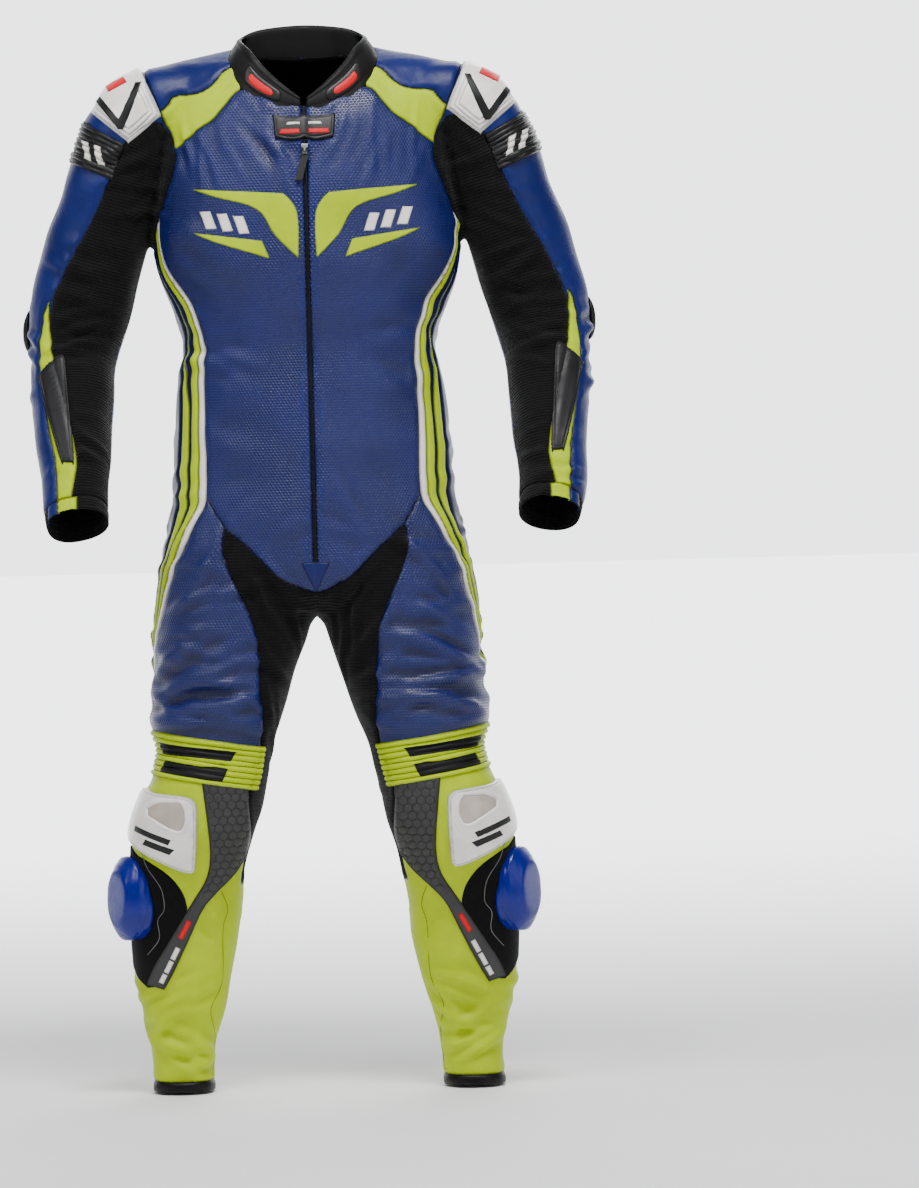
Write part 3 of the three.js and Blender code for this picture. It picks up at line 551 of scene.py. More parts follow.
# Panels in the order that they take their share of the skin: name, CAD node, field, limb
zones = [
    ("zip", "zip", zipField, "trunk"),
    ("cuff_stripe", "cuff", both(cuffField, inFront(forearmStripe), aheadOfArm), "arm"),
    ("cuff_side", "cuff", both(cuffField, cuffSide), "arm"),
    ("cuff", "cuff", cuffField, "arm"),
    ("sleeve_stretch", "sleeve_stretch", both(sleeve, inFront(stretchPanel), aheadOfArm), "arm"),
    ("forearm_stripe", "forearm_stripe", both(sleeve, inFront(forearmStripe), aheadOfArm), "arm"),
    ("sleeve_cap", "sleeve_cap", both(sleeve, capEdge), "arm"),
    ("sleeve_outer", "sleeve_outer", sleeve, "arm"),
    ("ankle_hem", "ankle_hem", lambda p: hemBand - p[:, 2], "leg"),
    ("inner_leg", "inner_leg", either(inFront(gusset), legBack), "leg"),
    ("shin", "shin", lambda p: kneeSeam - p[:, 2], "leg"),
    ("stripe_white", "stripe_white", sideBand((0, 0, 0), (1, 1, 0)), "trunk"),
    ("stripe_yellow", "stripe_yellow", sideBand((1, 1, 0), navyStart), "trunk"),
    ("stripe_navy", "stripe_yellow", sideBand(navyStart, navyEnd), "trunk"),
    ("stripe_outer", "stripe_yellow", sideBand(navyEnd, (2, 2, 0)), "trunk"),
    ("side_panel", "side_panel", sideBand((2, 2, 0), (2, 3, 0.84)), "trunk"),
    ("side_edge", "side_panel", sideBand((2, 3, 0.84), (3, 3, 0)), "trunk"),
    ("yoke", "yoke", yokeField, "trunk"),
    ("shoulder", "shoulder", shoulderField, "trunk"),
    ("thigh", "thigh", thighField, "leg"),
    ("front", "front", chest, "trunk"),
    ("seat", "seat", lambda p: waistSeam - p[:, 2], "trunk"),
    ("back", "back", lambda p: np.ones(len(p)), "trunk"),
]


# Shader maths: a wire is a socket that arithmetic can be done on
class Wire:
    def __init__(self, finish, socket):
        self.finish, self.socket = finish, socket

    def math(self, operation, other=None, swapped=False):
        inputs = {0: self} if other is None else {0: other, 1: self} if swapped else {0: self, 1: other}
        return self.finish.node("ShaderNodeMath", {"operation": operation}, inputs)

    def __add__(self, other):
        return self.math("ADD", other)

    __radd__ = __add__

    def __mul__(self, other):
        return self.math("MULTIPLY", other)

    __rmul__ = __mul__

    def __sub__(self, other):
        return self.math("SUBTRACT", other)

    def __rsub__(self, other):
        return self.math("SUBTRACT", other, swapped=True)

    def __truediv__(self, other):
        return self.math("DIVIDE", other)

    def fraction(self):
        return self.math("FRACT")

    def between(self, low, high, start=0.0, end=1.0):
        values = {"Value": self, "From Min": low, "From Max": high, "To Min": start, "To Max": end}
        return self.finish.node("ShaderNodeMapRange", {"interpolation_type": "SMOOTHSTEP"}, values)


class Finish:
    def __init__(self, name, **fixed):
        self.material = bpy.data.materials.new(name)
        self.material.use_nodes = True
        self.tree = self.material.node_tree
        self.shader = self.tree.nodes["Principled BSDF"]
        for key, value in fixed.items():
            self.shader.inputs[key.replace("_", " ")].default_value = value

    def node(self, kind, settings=None, values=None, out=0):
        made = self.tree.nodes.new(kind)
        for key, value in (settings or {}).items():
            setattr(made, key, value)
        for key, value in (values or {}).items():
            if isinstance(value, Wire):
                self.tree.links.new(value.socket, made.inputs[key])
            else:
                made.inputs[key].default_value = value
        return Wire(self, made.outputs[out])

    def place(self):
        return self.node("ShaderNodeTexCoord", out="Object")

    def cloth(self):
        return self.node("ShaderNodeUVMap", {"uv_map": "cloth"})

    def value(self, name):
        return self.node("ShaderNodeAttribute", {"attribute_name": name}, out="Fac")

    def axes(self, vector):
        split = self.node("ShaderNodeSeparateXYZ", values={"Vector": vector})
        outputs = split.socket.node.outputs
        return [Wire(self, outputs[name]) for name in "XYZ"]

    def noise(self, vector, scale, detail=3.0, roughness=0.5):
        return self.node("ShaderNodeTexNoise", values={
            "Vector": vector, "Scale": scale, "Detail": detail, "Roughness": roughness,
        })

    def grain(self, vector, scale):
        return self.node("ShaderNodeTexVoronoi", {"feature": "F1"}, {"Vector": vector, "Scale": scale})

    def blend(self, share, first, second):
        first, second = (colour if isinstance(colour, Wire) else (*colour, 1) for colour in (first, second))
        return self.node("ShaderNodeMix", {"data_type": "RGBA"}, {0: share, 6: first, 7: second}, out=2)

    def bump(self, height, distance, strength=1.0, over=None):
        values = {"Height": height, "Distance": distance, "Strength": strength}
        if over:
            values["Normal"] = over
        return self.node("ShaderNodeBump", values=values)

    def feed(self, **wires):
        for key, wire in wires.items():
            self.tree.links.new(wire.socket, self.shader.inputs[key.replace("_", " ")])
        return self.material


def tint(colour, factor):
    return tuple(min(1, c * factor) for c in colour)


# Leather with grain, soft wrinkles, painted shade in the troughs of its folds and a painted shade line in its
# seams
def leather(name, colour, rough=0.4, gloss=0.22, coat=0.0, perforated=False, wrinkle=0.0011, sheen=1.16,
            creaseShade=0.55):
    f = Finish(name, Coat_Weight=coat, Coat_Roughness=0.22, Specular_IOR_Level=gloss)
    place = f.place()
    mottle = f.noise(place, 9, 4)
    seam = f.value("seam").between(0.4, 3.2)
    base = f.blend(mottle.between(0.3, 0.7), tint(colour, 0.86), tint(colour, sheen))
    wearAndShade = f.noise(place, 70, 4, 0.65).between(0.52, 0.78)
    base = f.blend(wearAndShade * 0.35, base, tint(colour, 1.3))
    # Painted shade: the leather is darker in the troughs of its folds
    foldShade = f.value("fold").between(-0.8, 0)
    base = f.blend(1 - foldShade, base, tint(colour, creaseShade))
    # Painted shade: a dark line along each seam, where the seam sinks
    base = f.blend(1 - seam, base, tint(colour, 0.36))
    pebble = f.grain(place, 900)
    normal = f.bump(f.noise(place, 26, 3, 0.55), wrinkle * 2.2, 0.55)
    normal = f.bump(f.noise(place, 75, 4, 0.6), wrinkle, 0.6, normal)
    normal = f.bump(pebble, 0.00025, 0.35, normal)
    roughness = mottle.between(0.25, 0.75, rough - 0.07, rough + 0.09)
    if perforated:  # rows of small holes
        pitch = 0.0036
        u, v, _ = f.axes(f.cloth())
        row = (v / pitch).math("FLOOR")
        u = (u / pitch + row * 0.5).fraction() - 0.5
        v = (v / pitch).fraction() - 0.5
        far = (u * u + v * v).math("SQRT")
        hole = far.between(0.17, 0.27, 1, 0)
        base = f.blend(hole * 0.8, base, tint(colour, 0.2))
        normal = f.bump(far.between(0.12, 0.48), 0.0008, 0.75, normal)
        roughness = roughness + hole * 0.2
    return f.feed(Base_Color=base, Roughness=roughness, Normal=normal)


# Stretch cloth: short ribs across, and a fine knit
def stretchCloth(name, colour):
    f = Finish(name, Sheen_Weight=0.06, Specular_IOR_Level=0.08)
    place = f.place()
    u, v, _ = f.axes(f.cloth())
    wave = (v * (2 * math.pi / 0.0042)).math("SINE")
    knit = (u * (2 * math.pi / 0.0021)).math("SINE")
    patches = f.noise(place, 14, 3)
    base = f.blend(wave.between(-1, 1) * 0.5 + patches * 0.3, colour, tint(colour, 2.6))
    normal = f.bump(f.noise(place, 40, 4), 0.002, 0.6)
    normal = f.bump(wave + knit * 0.4, 0.0006, 0.7, normal)
    return f.feed(Base_Color=base, Roughness=patches.between(0.2, 0.8, 0.7, 0.9), Normal=normal)


# Moulded rubber and plastic, some with painted shade in their grooves and along their edges
def moulded(name, colour, rough, coat=0.0, gloss=0.5, grainy=0.0002, variation=1.25, creaseShade=0.0):
    f = Finish(name, Coat_Weight=coat, Coat_Roughness=0.06, Specular_IOR_Level=gloss)
    place = f.place()
    mottle = f.noise(place, 30, 4)
    scuffs = f.noise(place, 320, 3, 0.7).between(0.55, 0.8)
    base = f.blend(mottle.between(0.3, 0.7), tint(colour, 0.9), tint(colour, variation))
    if creaseShade:
        # Painted shade in the grooves and near the edges, where the seam value is low
        base = f.blend((1 - f.value("seam").between(0.8, 6)) * creaseShade, base, tint(colour, 0.25))
    normal = f.bump(f.noise(place, 500, 3), grainy, 0.5)
    roughness = mottle.between(0.3, 0.7, rough * 0.8, rough * 1.15) + scuffs * 0.08
    return f.feed(Base_Color=base, Roughness=roughness, Normal=normal)


# Hook and loop pile
def pileCloth(name, colour):
    f = Finish(name, Sheen_Weight=0.08, Specular_IOR_Level=0.06)
    place = f.place()
    fuzz = f.noise(place, 700, 4, 0.7)
    base = f.blend(fuzz.between(0.35, 0.7), colour, tint(colour, 4.0))
    rough = fuzz.between(0.2, 0.8, 0.85, 1)
    return f.feed(Base_Color=base, Roughness=rough, Normal=f.bump(fuzz, 0.0008, 0.8))


# Woven tape of the zip
def woven(name, colour):
    f = Finish(name, Specular_IOR_Level=0.3)
    x, _, z = f.axes(f.place())
    weave = (z * 5200).math("SINE") + (x * 4200).math("SINE")
    base = f.blend(weave.between(-2, 2), tint(colour, 0.6), tint(colour, 1.8))
    rough = weave.between(-2, 2, 0.85, 0.7)
    return f.feed(Base_Color=base, Roughness=rough, Normal=f.bump(weave, 0.0002, 0.6))


def metal(name, colour, rough=0.32):
    f = Finish(name, Metallic=0.95)
    place = f.place()
    smear = f.noise(place, 260, 4)
    base = f.blend(smear, tint(colour, 0.7), tint(colour, 1.2))
    normal = f.bump(f.noise(place, 900, 2), 0.0001, 0.4)
    return f.feed(Base_Color=base, Roughness=smear.between(0.2, 0.8, rough * 0.8, rough * 1.4), Normal=normal)


blue, navy = (0.0006, 0.0067, 0.092), (0.001, 0.003, 0.04)
fluo, warmWhite = (0.42, 0.56, 0.0), (0.86, 0.82, 0.77)
black = (0.0025, 0.0025, 0.003)
finishes = {
    "perforatedBlue": leather(
        "perforated blue leather", blue, rough=0.34, gloss=0.44, perforated=True, wrinkle=0.0006,
    ),
    "smoothBlue": leather("smooth blue leather", blue, rough=0.44, gloss=0.26),
    "yellow": leather("yellow leather", fluo, rough=0.45, gloss=0.1, sheen=1.06, creaseShade=0.8),
    "white": leather("white leather", warmWhite, rough=0.4, sheen=1.05),
    "navy": leather("navy leather", navy, rough=0.4, gloss=0.2),
    "blackLeather": leather("black leather", black, rough=0.45, gloss=0.2, sheen=1.5),
    "stretch": stretchCloth("black stretch cloth", (0.0022, 0.0022, 0.0024)),
    "lining": stretchCloth("black lining mesh", (0.0015, 0.0015, 0.0016)),
    "collarRubber": moulded("soft black collar cloth", (0.003, 0.003, 0.0032), 0.6, gloss=0.2, variation=1.6),
    "rubber": moulded("black rubber", (0.004, 0.004, 0.0045), 0.42, gloss=0.3, variation=1.5),
    "plate": moulded("dark plate", (0.008, 0.008, 0.009), 0.5, gloss=0.25, creaseShade=0.6),
    "whitePlastic": moulded(
        "white plastic", (0.84, 0.81, 0.77), 0.28, coat=0.15, variation=1.03, creaseShade=0.7,
    ),
    "hexGrey": moulded("grey hexagon rubber", (0.03, 0.0295, 0.031), 0.5, gloss=0.3, creaseShade=0.8),
    "sliderBlue": moulded(
        "blue slider plastic", (0.0008, 0.0045, 0.18), 0.26, coat=0.05, gloss=0.3, variation=1.1,
    ),
    "tape": woven("zip tape", (0.003, 0.0035, 0.008)),
    "pile": pileCloth("hook and loop pile", (0.0016, 0.0016, 0.0018)),
    "metal": metal("dark zip metal", (0.3, 0.3, 0.31)),
    "lens": moulded("silver lens", (0.44, 0.38, 0.33), 0.25, coat=0.4, variation=1.1),
    "ribbedBlack": leather("ribbed black leather", black, rough=0.4, gloss=0.3, wrinkle=0.0005, sheen=1.5),
    "piping": moulded("grey piping", (0.12, 0.12, 0.12), 0.4),
    "red": leather("red applique", (0.62, 0.004, 0.01), rough=0.42, gloss=0.18, sheen=1.05),
    "yellowThread": moulded("yellow thread", (0.3, 0.5, 0.0), 0.7, gloss=0.1),
    "blueThread": moulded("blue thread", (0.004, 0.025, 0.26), 0.7, gloss=0.1),
    "blackThread": moulded("dark thread", (0.004, 0.005, 0.004), 0.7, gloss=0.1),
}
print("finishes:", len(finishes))


# The skin is trimmed at neck, cuffs and hems, then cut along every seam
def trimmed(p):
    return np.maximum.reduce([pastCuff(p), -p[:, 2], inNeck(p)])


def centres(points, faces):
    return points[faces].mean(1)


skin, skinFaces = splitAlong(skin, skinFaces, trimmed)
skin, skinFaces, _ = onlyFaces(skin, skinFaces, trimmed(centres(skin, skinFaces)) < 0)
skin, skinFaces = splitAlong(skin, skinFaces, lambda p: p[:, 0])
fields = [field if limb == "arm" else both(body, field) for _, _, field, limb in zones]
for field in fields[:-1]:
    skin, skinFaces = splitAlong(skin, skinFaces, field)
middles = centres(skin, skinFaces)
zoneOf = np.full(len(skinFaces), -1)
for i, field in enumerate(fields):
    zoneOf[(zoneOf < 0) & (field(middles) > 0)] = i
zoneOf[zoneOf < 0] = len(zones) - 1
print("skin cut:", len(skin), "points", len(skinFaces), "triangles")

# Seams are where two panels meet
allEdges = skinFaces[:, [0, 1, 1, 2, 2, 0]].reshape(-1, 2)
orderedEdges, edgeIndex, edgeUses = np.unique(
    np.sort(allEdges, 1), axis=0, return_inverse=True, return_counts=True
)
edgeIndex = edgeIndex.ravel()
faceOfEdge = np.repeat(np.arange(len(skinFaces)), 3)
sorting = np.argsort(edgeIndex, kind="stable")
starts = np.searchsorted(edgeIndex[sorting], np.arange(len(orderedEdges)))
firstFace = faceOfEdge[sorting[starts]]
secondFace = faceOfEdge[sorting[starts + edgeUses - 1]]
panelOf = zoneOf * 2 + (middles[:, 0] < 0)
panelOf[zoneOf == 0] = 0
isSeam = panelOf[firstFace] != panelOf[secondFace]
seamEdges = orderedEdges[isSeam]
seamFaces = np.stack((firstFace, secondFace), 1)[isSeam]

# An outline seen from the front covers a limb's near side, or a given distance more
def outlined(outline, side, sharp=48):
    return both(inFront(outline, sharp=sharp), side)


onArm = lambda behind: lambda p: np.where(np.abs(p[:, 0]) > 150, aheadOfArm(p, behind), -fieldReach)
onLeg = lambda behind: lambda p: aheadOfLeg(p, behind)

# Under moulded pieces the leather stays smooth
elbowPad = {"at": (374, 30, 1030), "reach": 24}


def nearElbow(p):
    p = np.stack((np.abs(p[:, 0]), p[:, 1], p[:, 2]), 1)
    return elbowPad["reach"] - np.linalg.norm(p - elbowPad["at"], axis=1)


firmFade = {"starts": 10, "wide": 8}
firmAreas = [
    outlined(shoulderCup, onArm(45)), outlined(forearmPlate, onArm(0)), outlined(kneeCup, onLeg(0)),
    outlined(kneePanel, onLeg(0)), outlined(slidePad, onLeg(34)), outlined(closureTab, chest), nearElbow,
]


def firmness(points):
    inside = np.maximum.reduce([area(points) for area in firmAreas])
    return np.clip((inside + firmFade["starts"]) / firmFade["wide"], 0, 1)


# Folds: view, where, spread, how many, turn and its spread in degrees, long, wide and high
foldForm = {"seed": 11, "depth": 38, "limits": (-6.5, 6), "bend": 0.35, "skew": 0.4}
swelling = {"waves": 14, "lengths": (55, 170), "high": 0.42}
foldGroups = [
    ("front", (62, 1285), (26, 34), 5, 62, 8, (70, 120), (6, 10), (1.6, 3.2)),
    ("front", (125, 1255), (40, 26), 7, 72, 10, (45, 80), (5, 8), (1.2, 2.4)),
    ("front", (150, 1090), (36, 60), 4, 24, 24, (60, 110), (12, 18), (1.2, 2.2)),
    ("front", (130, 990), (40, 46), 7, 4, 16, (45, 90), (8, 13), (1.4, 2.6)),
    ("front", (80, 880), (70, 70), 4, -18, 26, (60, 120), (13, 20), (1.0, 2.0)),
    ("front", (60, 760), (50, 30), 5, -42, 14, (50, 90), (8, 13), (1.2, 2.4)),
    ("front", (150, 690), (46, 50), 8, -24, 16, (50, 100), (6, 10), (1.8, 3.4)),
    ("front", (155, 610), (46, 50), 12, -14, 12, (50, 100), (6, 10), (2.0, 4.2)),
    ("front", (160, 525), (46, 32), 13, 2, 9, (50, 100), (5.5, 9), (3.0, 5.4)),
    ("front", (50, 640), (30, 60), 10, 52, 18, (40, 90), (5, 8), (1.6, 3.2)),
    ("front", (70, 520), (20, 60), 8, 30, 25, (35, 70), (5, 8), (1.6, 3.0)),
    ("front", (165, 240), (22, 60), 6, 58, 14, (40, 80), (6, 9), (1.8, 3.4)),
    ("front", (195, 118), (34, 26), 8, -26, 12, (50, 95), (5.5, 8), (2.8, 4.8)),
    ("front", (190, 62), (30, 30), 6, 20, 16, (45, 80), (6, 9), (2.4, 4.4)),
    ("front", (240, 1215), (34, 60), 9, -20, 22, (35, 80), (5, 9), (1.6, 3.4)),
    ("front", (300, 1090), (34, 60), 10, 16, 22, (35, 75), (5, 9), (1.6, 3.4)),
    ("front", (318, 1000), (30, 36), 10, -4, 14, (35, 75), (4.5, 8), (2.0, 4.0)),
    ("front", (312, 860), (26, 60), 9, 12, 22, (30, 65), (5, 8), (1.4, 3.0)),
    ("back", (100, 1230), (70, 90), 10, 30, 26, (60, 130), (8, 13), (1.4, 3.2)),
    ("back", (90, 1010), (70, 60), 15, 3, 16, (60, 120), (6, 9), (1.8, 3.6)),
    ("back", (90, 830), (70, 90), 10, 12, 26, (60, 120), (8, 12), (1.4, 3.0)),
    ("back", (120, 620), (60, 60), 11, -8, 18, (50, 100), (6, 9), (1.8, 3.4)),
    ("back", (140, 450), (46, 60), 14, 3, 12, (50, 100), (5, 8), (2.0, 4.0)),
    ("back", (190, 200), (36, 90), 9, -14, 26, (40, 90), (7, 11), (1.4, 3.0)),
    ("back", (300, 1100), (34, 90), 12, -12, 24, (40, 80), (6, 9), (1.6, 3.2)),
    ("back", (318, 900), (30, 90), 10, 8, 22, (35, 70), (6, 9), (1.4, 3.0)),
    ("side", (0, 1000), (60, 70), 12, 4, 16, (50, 100), (6, 9), (1.6, 3.2)),
    ("side", (10, 780), (60, 90), 10, -12, 22, (50, 110), (7, 11), (1.4, 2.8)),
    ("side", (0, 560), (50, 70), 12, 4, 14, (40, 90), (5, 9), (1.8, 3.4)),
    ("side", (10, 160), (36, 80), 9, 12, 22, (40, 80), (6, 10), (1.4, 2.8)),
]
views = {
    "front": (lambda a, side: (side * a, -500, 0), (0, 1, 0), lambda side: (side, 0, 0)),
    "back": (lambda a, side: (side * a, 500, 0), (0, -1, 0), lambda side: (side, 0, 0)),
    "side": (lambda a, side: (side * 600, a, 0), (-1, 0, 0), lambda side: (0, 1, 0)),
}


# A fold's middle on the skin, the normal there, the way that the fold runs and the way across it
def foldPlace(tree, view, side, at, angle):
    startAt, toward, sideways = views[view]
    start = Vector(startAt(at[0], side)) + Vector((0, 0, at[1]))
    direction = Vector((side * toward[0], toward[1], 0))
    hit, normal, _, _ = tree.ray_cast(start, direction, 900)
    if hit is None:
        return None
    hit, normal = np.array(hit), unit(np.array(normal))
    if normal @ np.array(direction) > 0:
        normal = -normal
    run = math.cos(angle) * np.array(sideways(side)) + math.sin(angle) * np.array([0, 0, 1.0])
    run = unit(run - normal * (run @ normal))
    return hit, normal, run, np.cross(normal, run)


# Across a fold, a ridge stands between two shallower troughs
def foldRidge(w):
    return np.exp(-w * w) - 0.5 * np.exp(-((w - 1.7) ** 2)) - 0.35 * np.exp(-((w + 1.8) ** 2))


def foldHeights(points, faces):
    tree = BVHTree.FromPolygons(points.tolist(), faces.tolist())
    rng = np.random.default_rng(foldForm["seed"])
    heights = np.zeros(len(points))
    total = 0
    for view, (a, z), (sa, sz), count, turn, vary, longs, wides, highs in foldGroups:
        for side in (1, -1):
            for _ in range(count):
                u, v = a + rng.uniform(-sa, sa), z + rng.uniform(-sz, sz)
                angle = math.radians(turn + rng.normal(0, vary))
                long, wide, high = (rng.uniform(*limits) for limits in (longs, wides, highs))
                bend, skew = (rng.uniform(-foldForm[key], foldForm[key]) for key in ("bend", "skew"))
                place = foldPlace(tree, view, side, (u, v), angle)
                if place is None:
                    continue
                hit, normal, run, across = place
                offset = points - hit
                near = (np.abs(offset) < long * 1.05).all(1)
                d = offset[near]
                s = d @ run / long
                w = d @ across / wide + bend * long / wide * (s * s - 0.3) * 0.5
                depth = np.abs(d @ normal)
                window = np.clip(1 - s * s, 0, 1) ** 2 * (1 + skew * s)
                window = window * np.exp(-((depth / foldForm["depth"]) ** 2))
                heights[near] += high * window * foldRidge(w)
                total += 1
    print("folds:", total)
    return np.clip(heights, *foldForm["limits"])


# The leather is nowhere quite smooth
def swell(points):
    rng, rise = np.random.default_rng(foldForm["seed"] + 1), np.zeros(len(points))
    for _ in range(swelling["waves"]):
        wave = unit(rng.normal(size=3)) * 2 * math.pi / rng.uniform(*swelling["lengths"])
        rise += swelling["high"] * np.sin(points @ wave + rng.uniform(0, 6.3))
    return rise


# A seam sinks a little between two low ridges
seamForm = {"ridge": 0.8, "ridgeAt": 8, "ridgeWide": 5, "groove": 1.5, "grooveWide": 2.6}
base = skin.copy()
normals = normalsOf(skin, skinFaces)
seamSpots = np.concatenate((skin[seamEdges[:, 0]], skin[seamEdges].mean(1)))
seamTree = KDTree(len(seamSpots))
for i, spot in enumerate(seamSpots):
    seamTree.insert(spot, i)
seamTree.balance()
seamFar = np.array([seamTree.find(point)[2] for point in skin])
softness = 1 - 0.94 * firmness(skin)
folds = foldHeights(skin, skinFaces) * softness
heights = folds + swell(skin) * softness
heights += seamForm["ridge"] * np.exp(-(((seamFar - seamForm["ridgeAt"]) / seamForm["ridgeWide"]) ** 2))
heights -= seamForm["groove"] * np.exp(-((seamFar / seamForm["grooveWide"]) ** 2))
skin = base + normals * heights[:, None]
skinEdges = edgesOf(skinFaces)
onRim = np.zeros(len(skin), dtype=bool)
onRim[rimOf(skinFaces).ravel()] = True
skin = relax(skin, skinEdges, np.where(onRim | (seamFar < 1), 0, 0.25)[:, None], 1)
normals = normalsOf(skin, skinFaces)
print("skin folded")


# Where a point is on its limb: how far along, the angle round from the front, and the radius there
def limbPlace(points, kind):
    limb = limbs[kind]
    p = points * np.where(points[:, :1] < 0, mirror, 1)
    if kind == "arm":
        gap = ((p[:, None] - limb["centre"][None]) ** 2).sum(2)
        row = gap.argmin(1)
        local = p - limb["centre"][row]
        along = limb["travel"][row] + (local * limb["along"][row]).sum(1)
        across, forward = (local * limb["across"][row]).sum(1), (local * limb["forward"][row]).sum(1)
        half, front = limb["half"][row], limb["front"][row]
        return along, np.arctan2(across / half, forward / front), (half + front) / 2
    z = limb["centre"][::-1, 2]
    x, y, half, front, back = (
        np.interp(p[:, 2], z, column[::-1])
        for column in (limb["centre"][:, 0], limb["centre"][:, 1], limb["half"], limb["front"], limb["back"])
    )
    forward = y - p[:, 1]
    angle = np.arctan2((p[:, 0] - x) / half, forward / np.where(forward > 0, front, back))
    return -p[:, 2], angle, (half + (front + back) / 2) / 2


limbRadius = {"trunk": 150, "arm": 55, "leg": 85}
mapTurns = {"inner_leg": -1.6, "shin": 0.6, "sleeve_stretch": -0.6}  # moves the map's edge off the panel


def clothUv(points, kind, turned):
    chunks = [limbPlace(chunk, kind) for chunk in np.array_split(points, max(1, len(points) // 20000))]
    along, angle, _ = (np.concatenate(parts) for parts in zip(*chunks))
    angle = (angle - turned + math.pi) % (2 * math.pi) - math.pi
    return np.stack((angle * limbRadius[kind], along), 1) / 1000


# Panels: finish, slot, width and length of the cut in millimetres, its share of that rectangle
panels = {
    "zip": ("tape", "zip_tape", 10, 610, 0.65),
    "cuff": ("stretch", "black_leather", 190, 26, 0.98),
    "cuff_stripe": ("yellow", "black_leather", 34, 25, 0.8),
    "cuff_side": ("smoothBlue", "black_leather", 22, 31, 0.8),
    "sleeve_stretch": ("stretch", "stretch_cloth", 140, 515, 0.8),
    "forearm_stripe": ("yellow", "yellow_leather", 38, 265, 0.78),
    "sleeve_cap": ("smoothBlue", "blue_leather", 230, 200, 0.8),
    "sleeve_outer": ("smoothBlue", "blue_leather", 330, 515, 0.79),
    "ankle_hem": ("blackLeather", "black_leather", 300, 15, 0.99),
    "inner_leg": ("stretch", "stretch_cloth", 270, 520, 0.8),
    "shin": ("yellow", "yellow_leather", 425, 428, 0.8),
    "stripe_white": ("white", "white_leather", 15, 716, 0.83),
    "stripe_yellow": ("yellow", "yellow_leather", 18, 695, 0.79),
    "stripe_navy": ("navy", "yellow_leather", 11, 682, 0.79),
    "stripe_outer": ("yellow", "yellow_leather", 17, 674, 0.8),
    "side_panel": ("navy", "side_leather", 78, 670, 0.8),
    "side_edge": ("yellow", "side_leather", 18, 672, 0.8),
    "yoke": ("yellow", "yellow_leather", 72, 109, 0.8),
    "shoulder": ("smoothBlue", "blue_leather", 200, 145, 0.8),
    "thigh": ("perforatedBlue", "perforated_leather", 186, 358, 0.8),
    "front": ("perforatedBlue", "perforated_leather", 195, 678, 0.79),
    "seat": ("smoothBlue", "blue_leather", 222, 309, 0.8),
    "back": ("smoothBlue", "blue_leather", 255, 596, 0.8),
}
pieces = []


def dress(piece, nodes, body="suit"):
    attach(piece, body)
    if nodes:
        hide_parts(*nodes)
    pieces.append(piece)


def declareCloth(width, length, share):
    flat = (width / 1000, length / 1000)
    flat[0] * flat[1] * share


# Name endings of the pieces in a pair, and the triangles on their side
def sidesOf(single):
    if single:
        return [("", np.full(len(middles), True))]
    return [("_left", middles[:, 0] > 0), ("_right", middles[:, 0] < 0)]


for i, (zone, node, _, limb) in enumerate(zones):
    finish, slot, cutWidth, cutLength, cutShare = panels[zone]
    for side, there in sidesOf(zone == "zip"):
        points, faces, used = onlyFaces(skin, skinFaces, (zoneOf == i) & there)
        inner = points - normals[used] * suit["wall"]
        uv = clothUv(base[used], limb, mapTurns.get(zone, 0))
        # The seam distance and the fold height go to the shaders, which paint shade along the seams and in
        # the troughs of the folds
        piece = addMesh(
            f"{zone}_cloth{side}", toScene(np.concatenate((points, inner))), shellFaces(faces, len(points)),
            finishes[finish], uv=np.concatenate((uv, uv)),
            values={"seam": np.tile(seamFar[used], 2), "fold": np.tile(folds[used] / 4, 2)},
        )
        piece.data.materials.append(finishes["lining"])
        inside = np.zeros(len(piece.data.polygons), dtype=np.int32)
        inside[len(faces):] = 1
        piece.data.polygons.foreach_set("material_index", inside)
        dress(piece, [node + side])
        declareCloth(cutWidth, cutLength, cutShare)
print("panels sewn:", len(pieces))

# Pieces laid on the skin take its own triangles, made finer and lifted off it
layered = np.concatenate((base, skin), 1)
laying = {"around": 9, "lift": 0.3, "leastLift": 0.15, "gap": 0.05, "mostFaces": 26000}
# Painted shade darkens a surface where its seam value falls below this one
unshaded = 9.0  # a surface's seam value where no edge or crease darkens it


def roundEdge(inside, bevel):
    return np.sqrt(1 - (1 - np.clip(inside / bevel, 0, 1)) ** 2)


